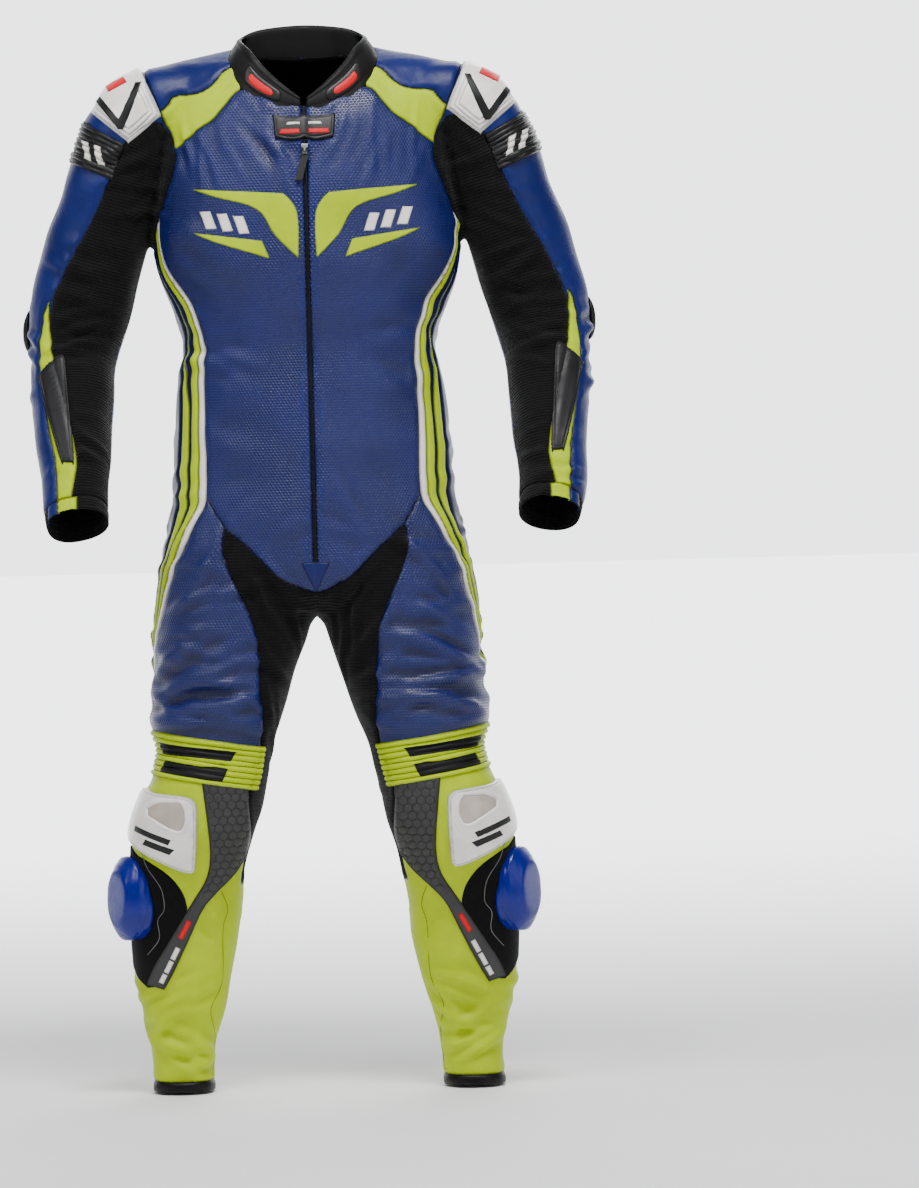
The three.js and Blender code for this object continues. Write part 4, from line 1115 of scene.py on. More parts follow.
# Nodes are those that the piece replaces, height is its own, and under is what lies below it
def lay(name, field, finish, nodes, height, under=0.0, bevel=1.5, fine=1, single=False,
        relief=None, ease=3):
    near = field(middles) > -laying["around"]
    for side, there in sidesOf(single):
        points, faces, _ = onlyFaces(layered, skinFaces, near & there)
        for _ in range(fine):
            points, faces = halve(points, faces)
        points, faces = splitAlong(points, faces, field, 0.3)
        points, faces, _ = onlyFaces(points, faces, field(centres(points, faces)[:, :3]) > 0)
        rim = np.zeros(len(points), dtype=bool)
        rim[rimOf(faces).ravel()] = True
        laid = relax(points[:, 3:], edgesOf(faces), np.where(rim, 0, 0.5)[:, None], ease * (fine + 1))
        normal = normalsOf(laid, faces)
        inside = field(points[:, :3])
        lift = laying["lift"] + height * roundEdge(inside, bevel)
        # Painted shade: the seam value falls near the piece's edge and in its relief's creases, and the
        # shaders darken it there
        wearAndShade = inside + 1.0  # low values are shaded darker, as at a seam
        if relief:
            change = relief(points[:, :3], inside)
            lift = np.maximum(lift + change, laying["leastLift"])
            crease = change - relax(change[:, None], edgesOf(faces), 0.5, 10 * fine)[:, 0]
            wearAndShade = np.minimum(wearAndShade, np.clip(unshaded + 16 * (crease + 0.06), 1.2, unshaded))
        outer = laid + normal * (under + lift)[:, None]
        inner = laid + normal * (under + laying["gap"])
        piece = addMesh(
            name + side, toScene(np.concatenate((outer, inner))), shellFaces(faces, len(outer)),
            finishes[finish],
            uv=np.tile(points[:, [0, 2]] / 1000, (2, 1)),
            values={"seam": np.tile(wearAndShade, 2)},
        )
        count = len(piece.data.polygons)
        if count > laying["mostFaces"]:
            thinning = piece.modifiers.new("thinning", "DECIMATE")
            thinning.ratio = laying["mostFaces"] / count
            settle(piece)
        dress(piece, [node + side for node in nodes])


# Accordions go partly round a limb, a little aslant: start and end along it, near and far angle round.
# A region is how far out they are looked for, and between which heights.
armAccordion = {
    "limb": "arm", "start": 113, "end": 165, "near": -0.02, "far": 3.0, "slant": 0.125, "level": 260,
    "ribs": 8, "high": 3.2, "region": (170, 1120, 1500),
}
kneeAccordion = {
    "limb": "leg", "start": -474, "end": -414, "near": -0.98, "far": 1.85, "slant": 0.16, "level": 140,
    "ribs": 8, "high": 4.2, "region": (0, 340, 560),
}


def alongBand(values, points):
    along, angle, radius = limbPlace(points, values["limb"])
    return along + values["slant"] * (np.abs(points[:, 0]) - values["level"]), angle, radius


def ribsOf(values):
    def relief(points, inside):
        along, _, _ = alongBand(values, points)
        share = (along - values["start"]) / (values["end"] - values["start"])
        wave = np.abs(np.sin(np.pi * values["ribs"] * share)) ** 0.6 - 0.6
        return values["high"] * wave * roundEdge(inside, 4)

    return relief


def bandOf(values):
    middle, half = (values["near"] + values["far"]) / 2, (values["far"] - values["near"]) / 2
    out, low, high = values["region"]

    def field(points):
        near = (np.abs(points[:, 0]) > out) & (points[:, 2] > low) & (points[:, 2] < high)
        along, angle, radius = alongBand(values, points[near])
        turned = (angle - middle + math.pi) % (2 * math.pi) - math.pi
        inside = np.full(len(points), -float(fieldReach))
        inside[near] = np.minimum.reduce([
            along - values["start"], values["end"] - along, (half - np.abs(turned)) * radius,
        ])
        return inside

    return field


lay("arm_accordion_leather", bandOf(armAccordion), "ribbedBlack", ["sleeve_accordion"], 2.2,
    fine=2, bevel=2.5, relief=ribsOf(armAccordion), ease=1)
lay("knee_accordion_leather", bandOf(kneeAccordion), "yellow", ["knee_accordion"], 2.2,
    fine=2, bevel=2.5, relief=ribsOf(kneeAccordion), ease=1)


def stepped(depth, places):
    def relief(points, inside):
        return -depth * sum(np.exp(-(((inside - place) / 0.9) ** 2)) for place in places)

    return relief


# The shoulder cup rises in terraces from its lower and front edges, and they fade towards its top
terrace = {"edges": (4, 9, 14), "rise": 1.5, "slope": 1.6, "groove": 0.9, "top": 1362, "fade": 30}


def terraces(points, inside):
    edges = terrace["edges"]
    steps = sum(np.clip((inside - edge) / terrace["slope"], 0, 1) for edge in edges) - len(edges)
    grooves = stepped(terrace["groove"], edges)(points, inside)
    shown = np.clip((terrace["top"] - points[:, 2]) / terrace["fade"], 0.2, 1)
    return (terrace["rise"] * steps + grooves) * shown


lay("shoulder_cup_shell", outlined(shoulderCup, onArm(45), 170), "whitePlastic",
    ["shoulder_cup"], 6.6, bevel=5, fine=2, relief=terraces)
cupChevron = [(214, 1352), (222, 1352), (246, 1306), (268, 1336), (274, 1330), (247, 1292), (240, 1292)]
cupBar = [(233, 1352), (257, 1340), (262, 1350), (238, 1361)]
lay("shoulder_cup_chevron", outlined(cupChevron, onArm(30)), "rubber", [], 0.5,
    under=6.6, fine=2)
lay("shoulder_cup_bar", outlined(cupBar, onArm(30)), "red", [], 0.5, under=6.6, fine=2)
lay("forearm_plate_moulding", outlined(forearmPlate, onArm(0)), "plate",
    ["forearm_plate"], 3, bevel=2, fine=2, relief=stepped(0.8, (3.5,)))
lay("slide_pad_pile", outlined(slidePad, onLeg(34)), "pile", ["slide_pad"], 2, bevel=2)

# The knee's grip panel has grooves between hexagons, down to where its strap begins.
# How far a hexagon is flat and how wide its groove's slope is are shares of the pitch.
hexagon = {
    "pitch": 11.5, "flat": 0.38, "slope": 0.1, "depth": 1.3, "lowest": 262, "fade": 12,
    "rim": 2.6, "rimWide": 0.7, "rimDepth": 0.6,
}


def hexagons(points, inside):
    u, v = np.abs(points[:, 0]) / hexagon["pitch"], points[:, 2] / hexagon["pitch"]
    tall = math.sqrt(3)
    nearest = np.full(len(u), 9.0)
    for du, dv in ((0, 0), (0.5, tall / 2)):
        a, b = (u - du + 0.5) % 1 - 0.5, (v - dv + tall / 2) % tall - tall / 2
        a, b = np.abs(a), np.abs(b)
        nearest = np.minimum(nearest, np.maximum(a, a * 0.5 + b * tall / 2))
    groove = np.clip((nearest - hexagon["flat"]) / hexagon["slope"], 0, 1)
    shown = np.clip((points[:, 2] - hexagon["lowest"]) / hexagon["fade"], 0, 1)
    shown = shown * np.clip((inside - 3) / 2, 0, 1)
    rim = np.exp(-(((inside - hexagon["rim"]) / hexagon["rimWide"]) ** 2))
    return -hexagon["depth"] * groove * shown - hexagon["rimDepth"] * rim


lay("knee_grip_panel", outlined(kneePanel, onLeg(0)), "hexGrey", ["knee_panel"], 2.6, fine=2,
    bevel=1.6, relief=hexagons, ease=2)
strapBars = [
    [(194, 196), (200, 199), (208, 183), (202, 180)], [(203, 178), (209, 181), (217, 165), (211, 162)],
    [(212, 160), (218, 163), (224, 151), (218, 148)],
]
for i, bar in enumerate(strapBars):
    lay(f"strap_bar_{i}", outlined(bar, onLeg(0)), "white", [], 0.5, under=2.7, fine=2)
strapRed = [(178, 232), (184, 236), (197, 212), (191, 208)]
lay("strap_red_bar", outlined(strapRed, onLeg(0)), "red", [], 0.5, under=2.7, fine=2)

lensFrame = inFront([
    (183, 386), (188, 393), (214, 392), (228, 384), (228, 376), (196, 358), (186, 360), (182, 370),
])
lensRing = {"high": 1.4, "at": 2.5, "wide": 2.2, "deep": 2.2, "slope": 1.2}


# A ridge round the lens, which lies deeper, and a groove along the cup's edge
def kneeCupRelief(points, inside):
    lens = lensFrame(points)
    ring = lensRing["high"] * np.exp(-(((lens + lensRing["at"]) / lensRing["wide"]) ** 2))
    sunk = lensRing["deep"] * np.clip((lens + 0.5) / lensRing["slope"], 0, 1)
    return ring - sunk + stepped(1.1, (4.5,))(points, inside)


lay("knee_cup_shell", outlined(kneeCup, onLeg(0), 170), "whitePlastic", ["knee_cup"], 6.6,
    bevel=6, fine=2, relief=kneeCupRelief)
lay("knee_cup_lens", both(lensFrame, onLeg(0)), "lens", [], 1.0, under=5.2, fine=2,
    bevel=1.2)
cupBars = [
    [(200, 346), (244, 362), (246, 355), (204, 339)], [(196, 333), (232, 346), (236, 339), (203, 326)],
]
for i, bar in enumerate(cupBars):
    lay(f"knee_cup_bar_{i}", outlined(bar, onLeg(0)), "rubber", [], 0.4, under=6.7, fine=2)

# Ornament of plain bands over the chest
chestBand = [(12, 1172), (30, 1198), (150, 1208), (120, 1196), (66, 1178), (42, 1142), (12, 1112)]
chestLow = [(60, 1136), (150, 1150), (122, 1136), (50, 1112)]
chestBars = [
    [(84, 1170), (98, 1170), (90, 1146), (76, 1146)], [(106, 1174), (120, 1174), (112, 1150), (98, 1150)],
    [(128, 1178), (142, 1178), (134, 1154), (120, 1154)],
]
onChest = lambda p: 20 - p[:, 1]
lay("chest_band", outlined(chestBand, onChest), "yellow", [], 0.7, bevel=1)
lay("chest_lower_band", outlined(chestLow, onChest), "yellow", [], 0.7, bevel=1)
for i, bar in enumerate(chestBars):
    lay(f"chest_bar_{i}", outlined(bar, onChest), "white", [], 0.8, bevel=1)


# Black bars on the knees' accordions and white ones on the arms', with the ribs showing through them
def ribbedUnder(values):
    ribs = ribsOf(values)
    return lambda p, inside: ribs(p, np.full(len(p), 9.0))


kneeBars = [
    [(112, 459), (214, 474), (206, 456), (120, 446)], [(124, 436), (204, 448), (212, 432), (132, 420)],
]
armBars = [
    [(272, 1270), (281, 1274), (277, 1248), (268, 1244)],
    [(288, 1277), (297, 1281), (293, 1255), (284, 1251)],
]
for limb, bars, side, accordion, finish, slot in (
    ("knee", kneeBars, onLeg(0), kneeAccordion, "blackLeather", "black_leather"),
    ("arm", armBars, onArm(0), armAccordion, "white", "white_leather"),
):
    for i, bar in enumerate(bars):
        lay(f"{limb}_accordion_bar_{i}", outlined(bar, side), finish, [], 0.6, under=2.1, fine=2,
            relief=ribbedUnder(accordion), ease=1)


# Front closure and the patch at the zip's end
def inFrontOnly(sideways, outline):
    def field(p):
        return np.where(p[:, 1] < 0, insideBy(sideways(p[:, 0]), p[:, 2], outline), -fieldReach)

    return field


tabField = inFrontOnly(lambda x: x, smoothOutline(closureTab, sharp=30))
lay("closure_badge", tabField, "rubber", ["closure_tab"], 4.4, single=True, bevel=3,
    fine=2, ease=12, relief=stepped(0.7, (3.4,)))
badgeBars = {
    "red": [(6, 1276), (34, 1276), (31, 1283), (6, 1283)],
    "white": [(6, 1288), (24, 1288), (22, 1292), (6, 1292)],
}
for finish, bar in badgeBars.items():
    lay(f"closure_bar_{finish}", inFrontOnly(np.abs, bar), finish, [], 0.6, under=4.3,
        fine=2, ease=6)
lay("zip_end_patch", inFrontOnly(lambda x: x, zipPatch), "smoothBlue", ["zip_patch"], 1.4,
    single=True)
print("laid pieces:", len(pieces))


def recalc(piece):
    work = bmesh.new()
    work.from_mesh(piece.data)
    bmesh.ops.recalc_face_normals(work, faces=work.faces)
    work.to_mesh(piece.data)
    work.free()


# Pucks: rings round an axis, the lowest seated on the skin, found by looking inwards from clear of it
seating = {"proud": 1.6, "clear": 60, "reach": 140}
onSkin = BVHTree.FromPolygons(skin.tolist(), skinFaces.tolist())


def puck(name, values, finish, node):
    axis = unit(np.array(values["facing"], dtype=float))
    up = np.array(values["up"], dtype=float)
    up = unit(up - axis * (up @ axis))
    across = np.cross(up, axis)
    centre, (wide, tall), height = np.array(values["centre"], dtype=float), values["plan"], values["height"]
    sides = values["sides"]
    angle = (np.arange(sides) + 0.5) / sides * 2 * math.pi
    around = across * (wide * bulge(np.cos(angle)))[:, None] + up * (tall * bulge(np.sin(angle)))[:, None]
    for side, sign in (("left", 1), ("right", -1)):
        rings = []
        for rise, share in values["profile"]:
            rings.append((centre + axis * (rise * height) + around * share) * (sign, 1, 1))
        seat = []
        for point in rings[0]:
            way = Vector(-axis * (sign, 1, 1))
            hit = onSkin.ray_cast(Vector(point) - way * seating["clear"], way, seating["reach"])[0]
            seat.append(np.array(hit) + axis * (sign, 1, 1) * seating["proud"] if hit else point)
        rings[0] = np.array(seat)
        points = np.concatenate((*rings, rings[0].mean(0)[None], rings[-1].mean(0)[None]))
        faces, count = [], len(rings) * sides
        for k in range(sides):
            n = (k + 1) % sides
            for i in range(len(rings) - 1):
                a, b = i * sides, (i + 1) * sides
                faces += [(a + k, a + n, b + n), (a + k, b + n, b + k)]
            faces += [(count, n, k), (count + 1, count - sides + k, count - sides + n)]
        faces = np.array(faces)
        piece = addMesh(f"{name}_{side}", toScene(points), faces, finishes[finish])
        recalc(piece)
        rounding = piece.modifiers.new("round", "SUBSURF")
        rounding.levels = rounding.render_levels = 3
        settle(piece)
        dress(piece, [f"{node}_{side}"])


# A profile's pairs are the share of the height and of the plan
kneeSlider = {
    "centre": (250, -34, 263), "facing": (0.86, -0.5, 0.04), "up": (0.05, 0, 1), "plan": (45, 62),
    "height": 34, "sides": 8,
    "profile": [(0, 0.94), (0.14, 0.97), (0.5, 1), (0.62, 0.96), (0.94, 0.68), (1, 0.6)],
}
elbowSlider = {
    "centre": (372, 30, 1028), "facing": (0.78, 0.62, 0.05), "up": (0, 0, 1), "plan": (23, 34),
    "height": 8, "sides": 10, "profile": [(0, 1), (0.3, 0.98), (0.72, 0.86), (1, 0.5)],
}
puck("knee_slider_puck", kneeSlider, "sliderBlue", "knee_slider")
puck("elbow_slider_puck", elbowSlider, "rubber", "elbow_slider")


# Collar: a soft band between its seam and its top edge. A profile's pairs are the share of the way up
# and the distance out, and reach is where it starts and ends round the neck.
def collarBand(name, profile, reach, finish, nodes, steps=112, narrow=0.0):
    first, last = reach
    t = np.linspace(first, last, steps + 1) * (len(baseLoop) - 1)
    i = np.clip(t.astype(int), 0, len(baseLoop) - 2)
    part = (t - i)[:, None]
    low = baseLoop[i] * (1 - part) + baseLoop[i + 1] * part
    high = topLoop[i] * (1 - part) + topLoop[i + 1] * part
    away = low - neckMiddle
    away = unit(away - (away @ neckAxis)[:, None] * neckAxis)
    ends = np.clip(np.minimum(np.linspace(0, 1, steps + 1), np.linspace(1, 0, steps + 1)) * steps / 3, 0, 1)
    ease = np.sqrt(1 - (1 - ends) ** 2)[:, None] if narrow else np.ones((steps + 1, 1))
    middle = sum(share for share, _ in profile) / len(profile)
    rings = []
    for share, out in profile:
        share = middle + (share - middle) * (1 - narrow + narrow * ease)
        rings.append(low + (high - low) * share + away * out)
    points = np.stack(rings, 1).reshape(-1, 3)
    n = len(profile)
    faces = []
    for row in range(steps):
        for k in range(n):
            a, b = row * n + k, row * n + (k + 1) % n
            faces += [(a, b, b + n), (a, b + n, a + n)]
    for k in range(1, n - 1):
        faces += [(0, k + 1, k), (steps * n, steps * n + k, steps * n + k + 1)]
    piece = addMesh(name, toScene(points), np.array(faces), finishes[finish], uv=points[:, [0, 2]] / 1000,
                    values={"seam": np.full(len(points), unshaded)})
    recalc(piece)
    dress(piece, nodes)


collarProfile = [
    (-0.16, 1.0), (-0.02, 2.2), (0.08, 2.7), (0.14, 1.9), (0.2, 2.6), (0.5, 2.9), (0.78, 2.5), (0.84, 1.8),
    (0.9, 2.9), (0.97, 3.3), (1.03, 2.5), (1.06, 0.8), (1.04, -1.4), (0.98, -2.8), (0.86, -2.6), (0.4, -2.4),
    (0, -2.2), (-0.14, -1.4),
]
collarBand("collar_cloth", collarProfile, (0.004, 0.996), "collarRubber", ["collar"])
patchProfile = [
    (0.24, 2.4), (0.26, 4.2), (0.32, 4.9), (0.5, 5.1), (0.7, 4.9), (0.76, 4.2), (0.78, 2.4), (0.5, 2.2),
]
redProfile = [(0.36, 4.6), (0.38, 5.5), (0.5, 5.7), (0.64, 5.5), (0.66, 4.6), (0.5, 4.6)]
for side, (first, last) in (("left", (0.07, 0.2)), ("right", (0.8, 0.93))):
    collarBand(f"collar_patch_rubber_{side}", patchProfile, (first, last), "rubber",
               [f"collar_patch_{side}"], steps=26, narrow=0.5)
    margin = (last - first) / 6
    collarBand(f"collar_red_{side}", redProfile, (first + margin, last - margin), "red",
               [], steps=20, narrow=0.9)


# Stitches and zip teeth: the same small solid again and again along a path
sizeNames = ("Pitch", "Long", "Wide", "High")


def repeatTree(name, kind):
    tree = bpy.data.node_groups.new(name, "GeometryNodeTree")
    face = tree.interface
    face.new_socket("Geometry", in_out="INPUT", socket_type="NodeSocketGeometry")
    for label in sizeNames:
        face.new_socket(label, in_out="INPUT", socket_type="NodeSocketFloat")
    face.new_socket("Material", in_out="INPUT", socket_type="NodeSocketMaterial")
    face.new_socket("Geometry", in_out="OUTPUT", socket_type="NodeSocketGeometry")
    new, link = tree.nodes.new, tree.links.new
    start, end = new("NodeGroupInput"), new("NodeGroupOutput")
    curve, evenly = new("GeometryNodeMeshToCurve"), new("GeometryNodeResampleCurve")
    evenly.mode = "LENGTH"
    link(start.outputs["Geometry"], curve.inputs["Mesh"])
    link(curve.outputs["Curve"], evenly.inputs["Curve"])
    link(start.outputs["Pitch"], evenly.inputs["Length"])
    if kind == "stitch":
        item = new("GeometryNodeMeshUVSphere")
        item.inputs["Segments"].default_value, item.inputs["Rings"].default_value = 5, 3
        item.inputs["Radius"].default_value = 0.5
    else:
        item = new("GeometryNodeMeshCube")
        item.inputs["Size"].default_value = (1, 1, 1)
    tangent, outward = new("GeometryNodeInputTangent"), new("GeometryNodeInputNamedAttribute")
    outward.data_type = "FLOAT_VECTOR"
    outward.inputs["Name"].default_value = "outward"
    turn, roll = new("FunctionNodeAlignRotationToVector"), new("FunctionNodeAlignRotationToVector")
    turn.axis, roll.axis, roll.pivot_axis = "X", "Z", "X"
    link(tangent.outputs["Tangent"], turn.inputs["Vector"])
    link(turn.outputs["Rotation"], roll.inputs["Rotation"])
    link(outward.outputs["Attribute"], roll.inputs["Vector"])
    size = new("ShaderNodeCombineXYZ")
    for axis, label in zip("XYZ", sizeNames[1:]):
        link(start.outputs[label], size.inputs[axis])
    place, real = new("GeometryNodeInstanceOnPoints"), new("GeometryNodeRealizeInstances")
    paint = new("GeometryNodeSetMaterial")
    link(evenly.outputs["Curve"], place.inputs["Points"])
    link(item.outputs["Mesh"], place.inputs["Instance"])
    link(roll.outputs["Rotation"], place.inputs["Rotation"])
    link(size.outputs["Vector"], place.inputs["Scale"])
    link(place.outputs["Instances"], real.inputs["Geometry"])
    link(real.outputs["Geometry"], paint.inputs["Geometry"])
    link(start.outputs["Material"], paint.inputs["Material"])
    link(paint.outputs["Geometry"], end.inputs["Geometry"])
    return tree


trees = {kind: repeatTree(kind + " along a path", kind) for kind in ("stitch", "tooth")}


def repeat(name, kind, points, edges, outward, sizes, finish, slot):
    mesh = bpy.data.meshes.new(name)
    mesh.vertices.add(len(points))
    mesh.vertices.foreach_set("co", toScene(points).astype(np.float32).ravel())
    mesh.edges.add(len(edges))
    mesh.edges.foreach_set("vertices", np.asarray(edges, dtype=np.int32).ravel())
    ways = mesh.attributes.new("outward", "FLOAT_VECTOR", "POINT")
    ways.data.foreach_set("vector", outward.astype(np.float32).ravel())
    mesh.update()
    piece = linked(name, mesh)
    modifier = piece.modifiers.new("repeat", "NODES")
    modifier.node_group = trees[kind]
    sockets = {s.name: s.identifier for s in trees[kind].interface.items_tree if s.in_out == "INPUT"}
    for label, value in zip(sizeNames, sizes):
        modifier[sockets[label]] = value / 1000
    modifier[sockets["Material"]] = finishes[finish]
    settle(piece)
    shade(piece, kind == "stitch")
    print(name, len(piece.data.polygons), "faces")
    dress(piece, [])


# A row of stitches beside each seam, on the panels that are top-stitched
stitch = {"sizes": (4.0, 2.9, 0.75, 0.7), "inset": 2.6, "proud": 0.25}
threadOf = {
    "perforatedBlue": "blueThread", "smoothBlue": "blueThread", "navy": "blueThread",
    "yellow": "yellowThread", "white": "yellowThread",
}


# The way into its panel at each seam point, from the panel's own triangles there
def intoPanels(vertex, owner):
    corners = np.stack((skinFaces.ravel(), np.repeat(panelOf, 3)), 1)
    centre = np.repeat(centres(skin, skinFaces), 3, axis=0)
    scale = int(panelOf.max()) + 1
    code, wanted = corners[:, 0] * scale + corners[:, 1], vertex * scale + owner
    place = np.clip(np.searchsorted(wanted, code), 0, len(wanted) - 1)
    match = wanted[place] == code
    total = spread(place[match], centre[match] - skin[corners[match, 0]], len(wanted))
    return total - normals[vertex] * (total * normals[vertex]).sum(1)[:, None]


def seamPaths(colour):
    wanted = np.array([threadOf.get(panels[zone][0]) == colour for zone, _, _, _ in zones])
    edges, owners = [], []
    for k in (0, 1):
        panel = seamFaces[:, k]
        chosen = wanted[zoneOf[panel]]
        edges.append(seamEdges[chosen])
        owners.append(panelOf[panel][chosen])
    edges, owners = np.concatenate(edges), np.concatenate(owners)
    keys = np.stack((edges, np.repeat(owners[:, None], 2, 1)), 2).reshape(-1, 2)
    unique, index = np.unique(keys, axis=0, return_inverse=True)
    index = index.reshape(-1, 2)
    vertex, owner = unique.T
    into = intoPanels(vertex, owner)
    a, b = index.T
    step = skin[vertex[b]] - skin[vertex[a]]
    reference = np.zeros_like(into)
    reference[a] = step
    reference[b] += step * np.sign((reference[b] * step).sum(1) + 1e-9)[:, None]
    reference = unit(reference)
    into = unit(into - reference * (into * reference).sum(1)[:, None])
    path = skin[vertex] + into * stitch["inset"] + normals[vertex] * stitch["proud"]
    degree = np.bincount(index.ravel(), minlength=len(path))
    path = relax(path, index, np.where(degree == 2, 0.5, 0)[:, None], 3)
    return path, index, normals[vertex]


for colour, slot in (("blueThread", "blue_leather"), ("yellowThread", "yellow_leather")):
    path, edges, outward = seamPaths(colour)
    repeat(f"seam_{colour}", "stitch", path, edges, outward, stitch["sizes"], colour, slot)


# Straight rows over the skin, laid by looking at it from the front
def projected(points2d, lift):
    spots, outward = [], []
    for x, z in points2d:
        hit, normal, _, _ = onSkin.ray_cast(Vector((x, -600, z)), Vector((0, 1, 0)), 900)
        if hit is None:
            continue
        normal = np.array(normal) * (-1 if normal.y > 0 else 1)
        spots.append(np.array(hit) + normal * lift)
        outward.append(normal)
    return np.array(spots), np.array(outward)


def rowsOf(lines, lift):
    points, edges, outward, count = [], [], [], 0
    for line in lines:
        spots, normal = projected(line, lift)
        for _ in range(3):
            spots[1:-1] = (spots[:-2] + spots[2:]) / 4 + spots[1:-1] / 2
        points.append(spots)
        outward.append(normal)
        edges += [(count + i, count + i + 1) for i in range(len(spots) - 1)]
        count += len(spots)
    return np.concatenate(points), np.array(edges), np.concatenate(outward)


heightsDown = np.arange(1326, 700, -4.0)
zipRows = [[(sign * x, z) for z in heightsDown] for sign in (1, -1) for x in (8, 11.5)]
teeth = [[(sign * 0.6, z) for z in heightsDown] for sign in (1, -1)]


def openLine(corners, parts=10):
    columns, last = np.array(corners, dtype=float).T, len(corners) - 1
    fine = np.linspace(0, last, last * parts + 1)
    line = np.stack([np.interp(fine, range(last + 1), column) for column in columns], 1)
    for _ in range(parts):
        line[1:-1] = (line[:-2] + line[2:]) / 4 + line[1:-1] / 2
    return [[(sign * x, z) for x, z in line] for sign in (1, -1)]


calfRows = openLine([(137, 271), (128, 246), (138, 224), (138, 144), (159, 112), (151, 77), (157, 20)])
chestRows = openLine([(176, 1246), (179, 1180), (181, 1100), (177, 1064)])
pipingRows = openLine([
    (261, 344), (241, 331), (235, 307), (215, 279), (212, 249), (224, 236), (219, 210), (237, 188),
])

# Lines, how far they stand off the skin, what is repeated, its sizes, finish and slot
sewn = {
    "zip_stitches": (zipRows, 0.3, "stitch", (3.4, 2.5, 0.7, 0.6), "blueThread", "blue_leather"),
    "calf_stitches": (calfRows, 0.3, "stitch", (3.0, 3.2, 1.1, 0.6), "blackThread", "yellow_leather"),
    "chest_stitches": (chestRows, 0.2, "stitch", (3.2, 2.6, 0.9, 0.6), "blackThread", "blue_leather"),
    "pad_piping": (pipingRows, 2.9, "stitch", (1.1, 2.2, 1.3, 1.1), "piping", "stretch_cloth"),
    "zip_teeth": (teeth, 0.6, "tooth", (2.2, 1.1, 1.4, 1.0), "rubber", "zip_tape"),
}
for name, (lines, lift, kind, sizes, finish, slot) in sewn.items():
    repeat(name, kind, *rowsOf(lines, lift), sizes, finish, slot)


# The zip's slider and its pull keep the solids' form, with softened edges
def softened(node, name, finish, width, body="suit"):
    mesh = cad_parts[node].data.copy()
    piece = linked(name, mesh)
    work = bmesh.new()
    work.from_mesh(mesh)
    bmesh.ops.remove_doubles(work, verts=work.verts, dist=1e-5)
    bmesh.ops.dissolve_limit(work, angle_limit=math.radians(1), verts=work.verts, edges=work.edges)
    bmesh.ops.recalc_face_normals(work, faces=work.faces)
    work.to_mesh(mesh)
    work.free()
    mesh.materials.clear()
    mesh.materials.append(finishes[finish])
    bevel = piece.modifiers.new("soft", "BEVEL")
    bevel.width, bevel.segments, bevel.limit_method = width / 1000, 2, "ANGLE"
    bevel.angle_limit = math.radians(40)
    settle(piece)
    piece.data.materials.clear()
    piece.data.materials.append(finishes[finish])
    shade(piece, False)
    dress(piece, [node], body)


softened("zip_slider", "zip_slider_body", "metal", 0.4)
softened("zip_pull", "zip_pull_strap", "rubber", 0.5, "pull_tab")
print("all pieces:", len(pieces))


# Camera in front of the suit, rolled as the photograph is, and moved sideways by its shift
camera = {
    "away": 6.5, "height": 800, "roll": 1.5,
    "pixels": (919, 1188), "perPixel": 1.35,
    "across": 315.6, "rise": 521, "row": 565,  # where the suit's middle is in the frame
    "sensor": 36, "sees": 150,
}


def addCamera():
    roll = math.radians(camera["roll"])
    v = camera["height"] / camera["perPixel"] - camera["rise"]
    px = camera["across"] - v * math.sin(roll)
    py = camera["row"] - v * math.cos(roll)
    data = bpy.data.cameras.new("camera")
    wide, tall = camera["pixels"]
    data.lens = camera["away"] * 1000 / camera["perPixel"] / tall * camera["sensor"]
    data.shift_x = (wide / 2 - px) / tall
    data.shift_y = (py - tall / 2) / tall
    data.clip_end = camera["sees"]
    eye = linked("camera", data)
    right = Vector((math.cos(roll), 0, -math.sin(roll)))
    up = Vector((math.sin(roll), 0, math.cos(roll)))
    back = Vector((0, -1, 0))
    place = Vector((0, -camera["away"], (camera["height"] - suit["hemDrop"]) / 1000))
    eye.matrix_world = Matrix.Translation(place) @ Matrix((right, up, back)).transposed().to_4x4()
    bpy.context.scene.camera = eye


def addLamp(name, place, target, size, power):
    data = bpy.data.lights.new(name, "AREA")
    data.shape = "RECTANGLE"
    data.size, data.size_y, data.energy = *size, power
    lamp = linked(name, data)
    lamp.location = place
    lamp.rotation_euler = (Vector(target) - Vector(place)).to_track_quat("-Z", "Y").to_euler()


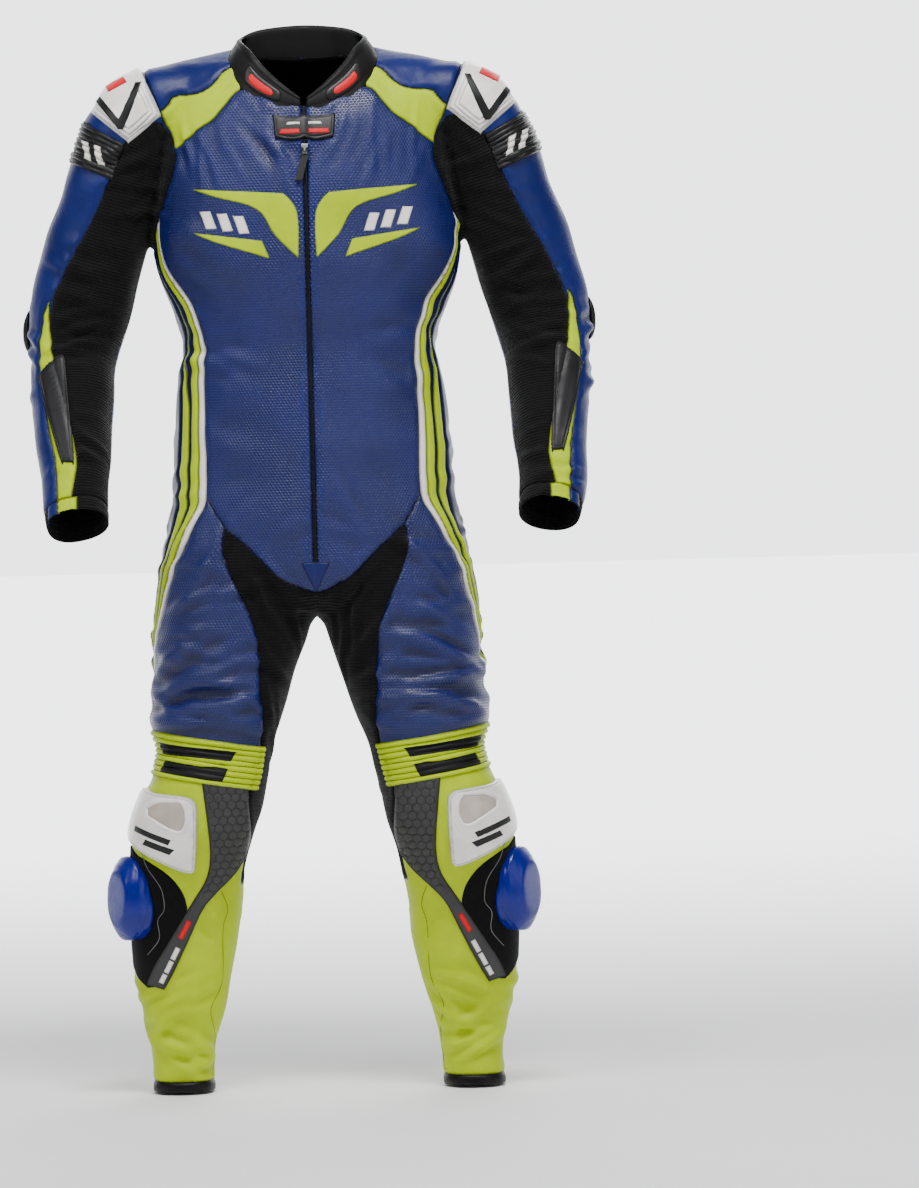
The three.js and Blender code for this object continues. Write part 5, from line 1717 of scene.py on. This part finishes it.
# A bright backdrop behind the suit and a dim room in front of it: between which directions the world's
# glow rises, and from how much to how much
studio = {"glow": (0.5, 0.92, 0.3, 3.2), "floor": 45, "gap": 0.004}

# place, what it points at, size and watts
lamps = {
    "key": ((-2.1, -2.1, 1.3), (0, 0, -0.5), (1.3, 1.3), 42),
    "fill": ((2.2, -2.2, 0.2), (0, 0, -0.7), (1.8, 2.2), 18),
    "top": ((0.3, -1.6, 2.3), (0, 0, -0.4), (1.4, 0.9), 120),
    "back": ((0.8, 2.6, 1.2), (0, 0, -0.5), (2.0, 2.0), 40),
}


def addStudio():
    reach, depth = studio["floor"], -suit["hemDrop"] / 1000 - studio["gap"]
    corners = [(x, y, depth) for x, y in ((-reach, -reach), (reach, -reach), (reach, reach), (-reach, reach))]
    floor = addMesh("floor", np.array(corners), np.array([(0, 1, 2), (0, 2, 3)]))
    f = Finish("pale floor", Emission_Strength=studio["glow"][3], Specular_IOR_Level=0.2)
    _, far, _ = f.axes(f.place())
    floor.data.materials.append(f.feed(
        Base_Color=f.blend(f.noise(f.place(), 3, 2), (0.88, 0.88, 0.88), (0.92, 0.92, 0.92)),
        Roughness=f.noise(f.place(), 20, 2).between(0, 1, 0.7, 0.85),
        Emission_Color=f.blend(far.between(0.2, 5), (0, 0, 0), (0.97, 0.98, 1))))
    world = bpy.data.worlds.new("studio")
    world.use_nodes = True
    tree = world.node_tree
    where, split = tree.nodes.new("ShaderNodeTexCoord"), tree.nodes.new("ShaderNodeSeparateXYZ")
    glow, sky = tree.nodes.new("ShaderNodeMapRange"), tree.nodes["Background"]
    glow.interpolation_type = "SMOOTHSTEP"
    for label, value in zip(("From Min", "From Max", "To Min", "To Max"), studio["glow"]):
        glow.inputs[label].default_value = value
    tree.links.new(where.outputs["Generated"], split.inputs["Vector"])
    tree.links.new(split.outputs["Y"], glow.inputs["Value"])
    tree.links.new(glow.outputs["Result"], sky.inputs["Strength"])
    sky.inputs["Color"].default_value = (0.97, 0.98, 1, 1)
    bpy.context.scene.world = world


addCamera()
addStudio()
for name, values in lamps.items():
    addLamp(name, *values)
print("pieces:", len(pieces))
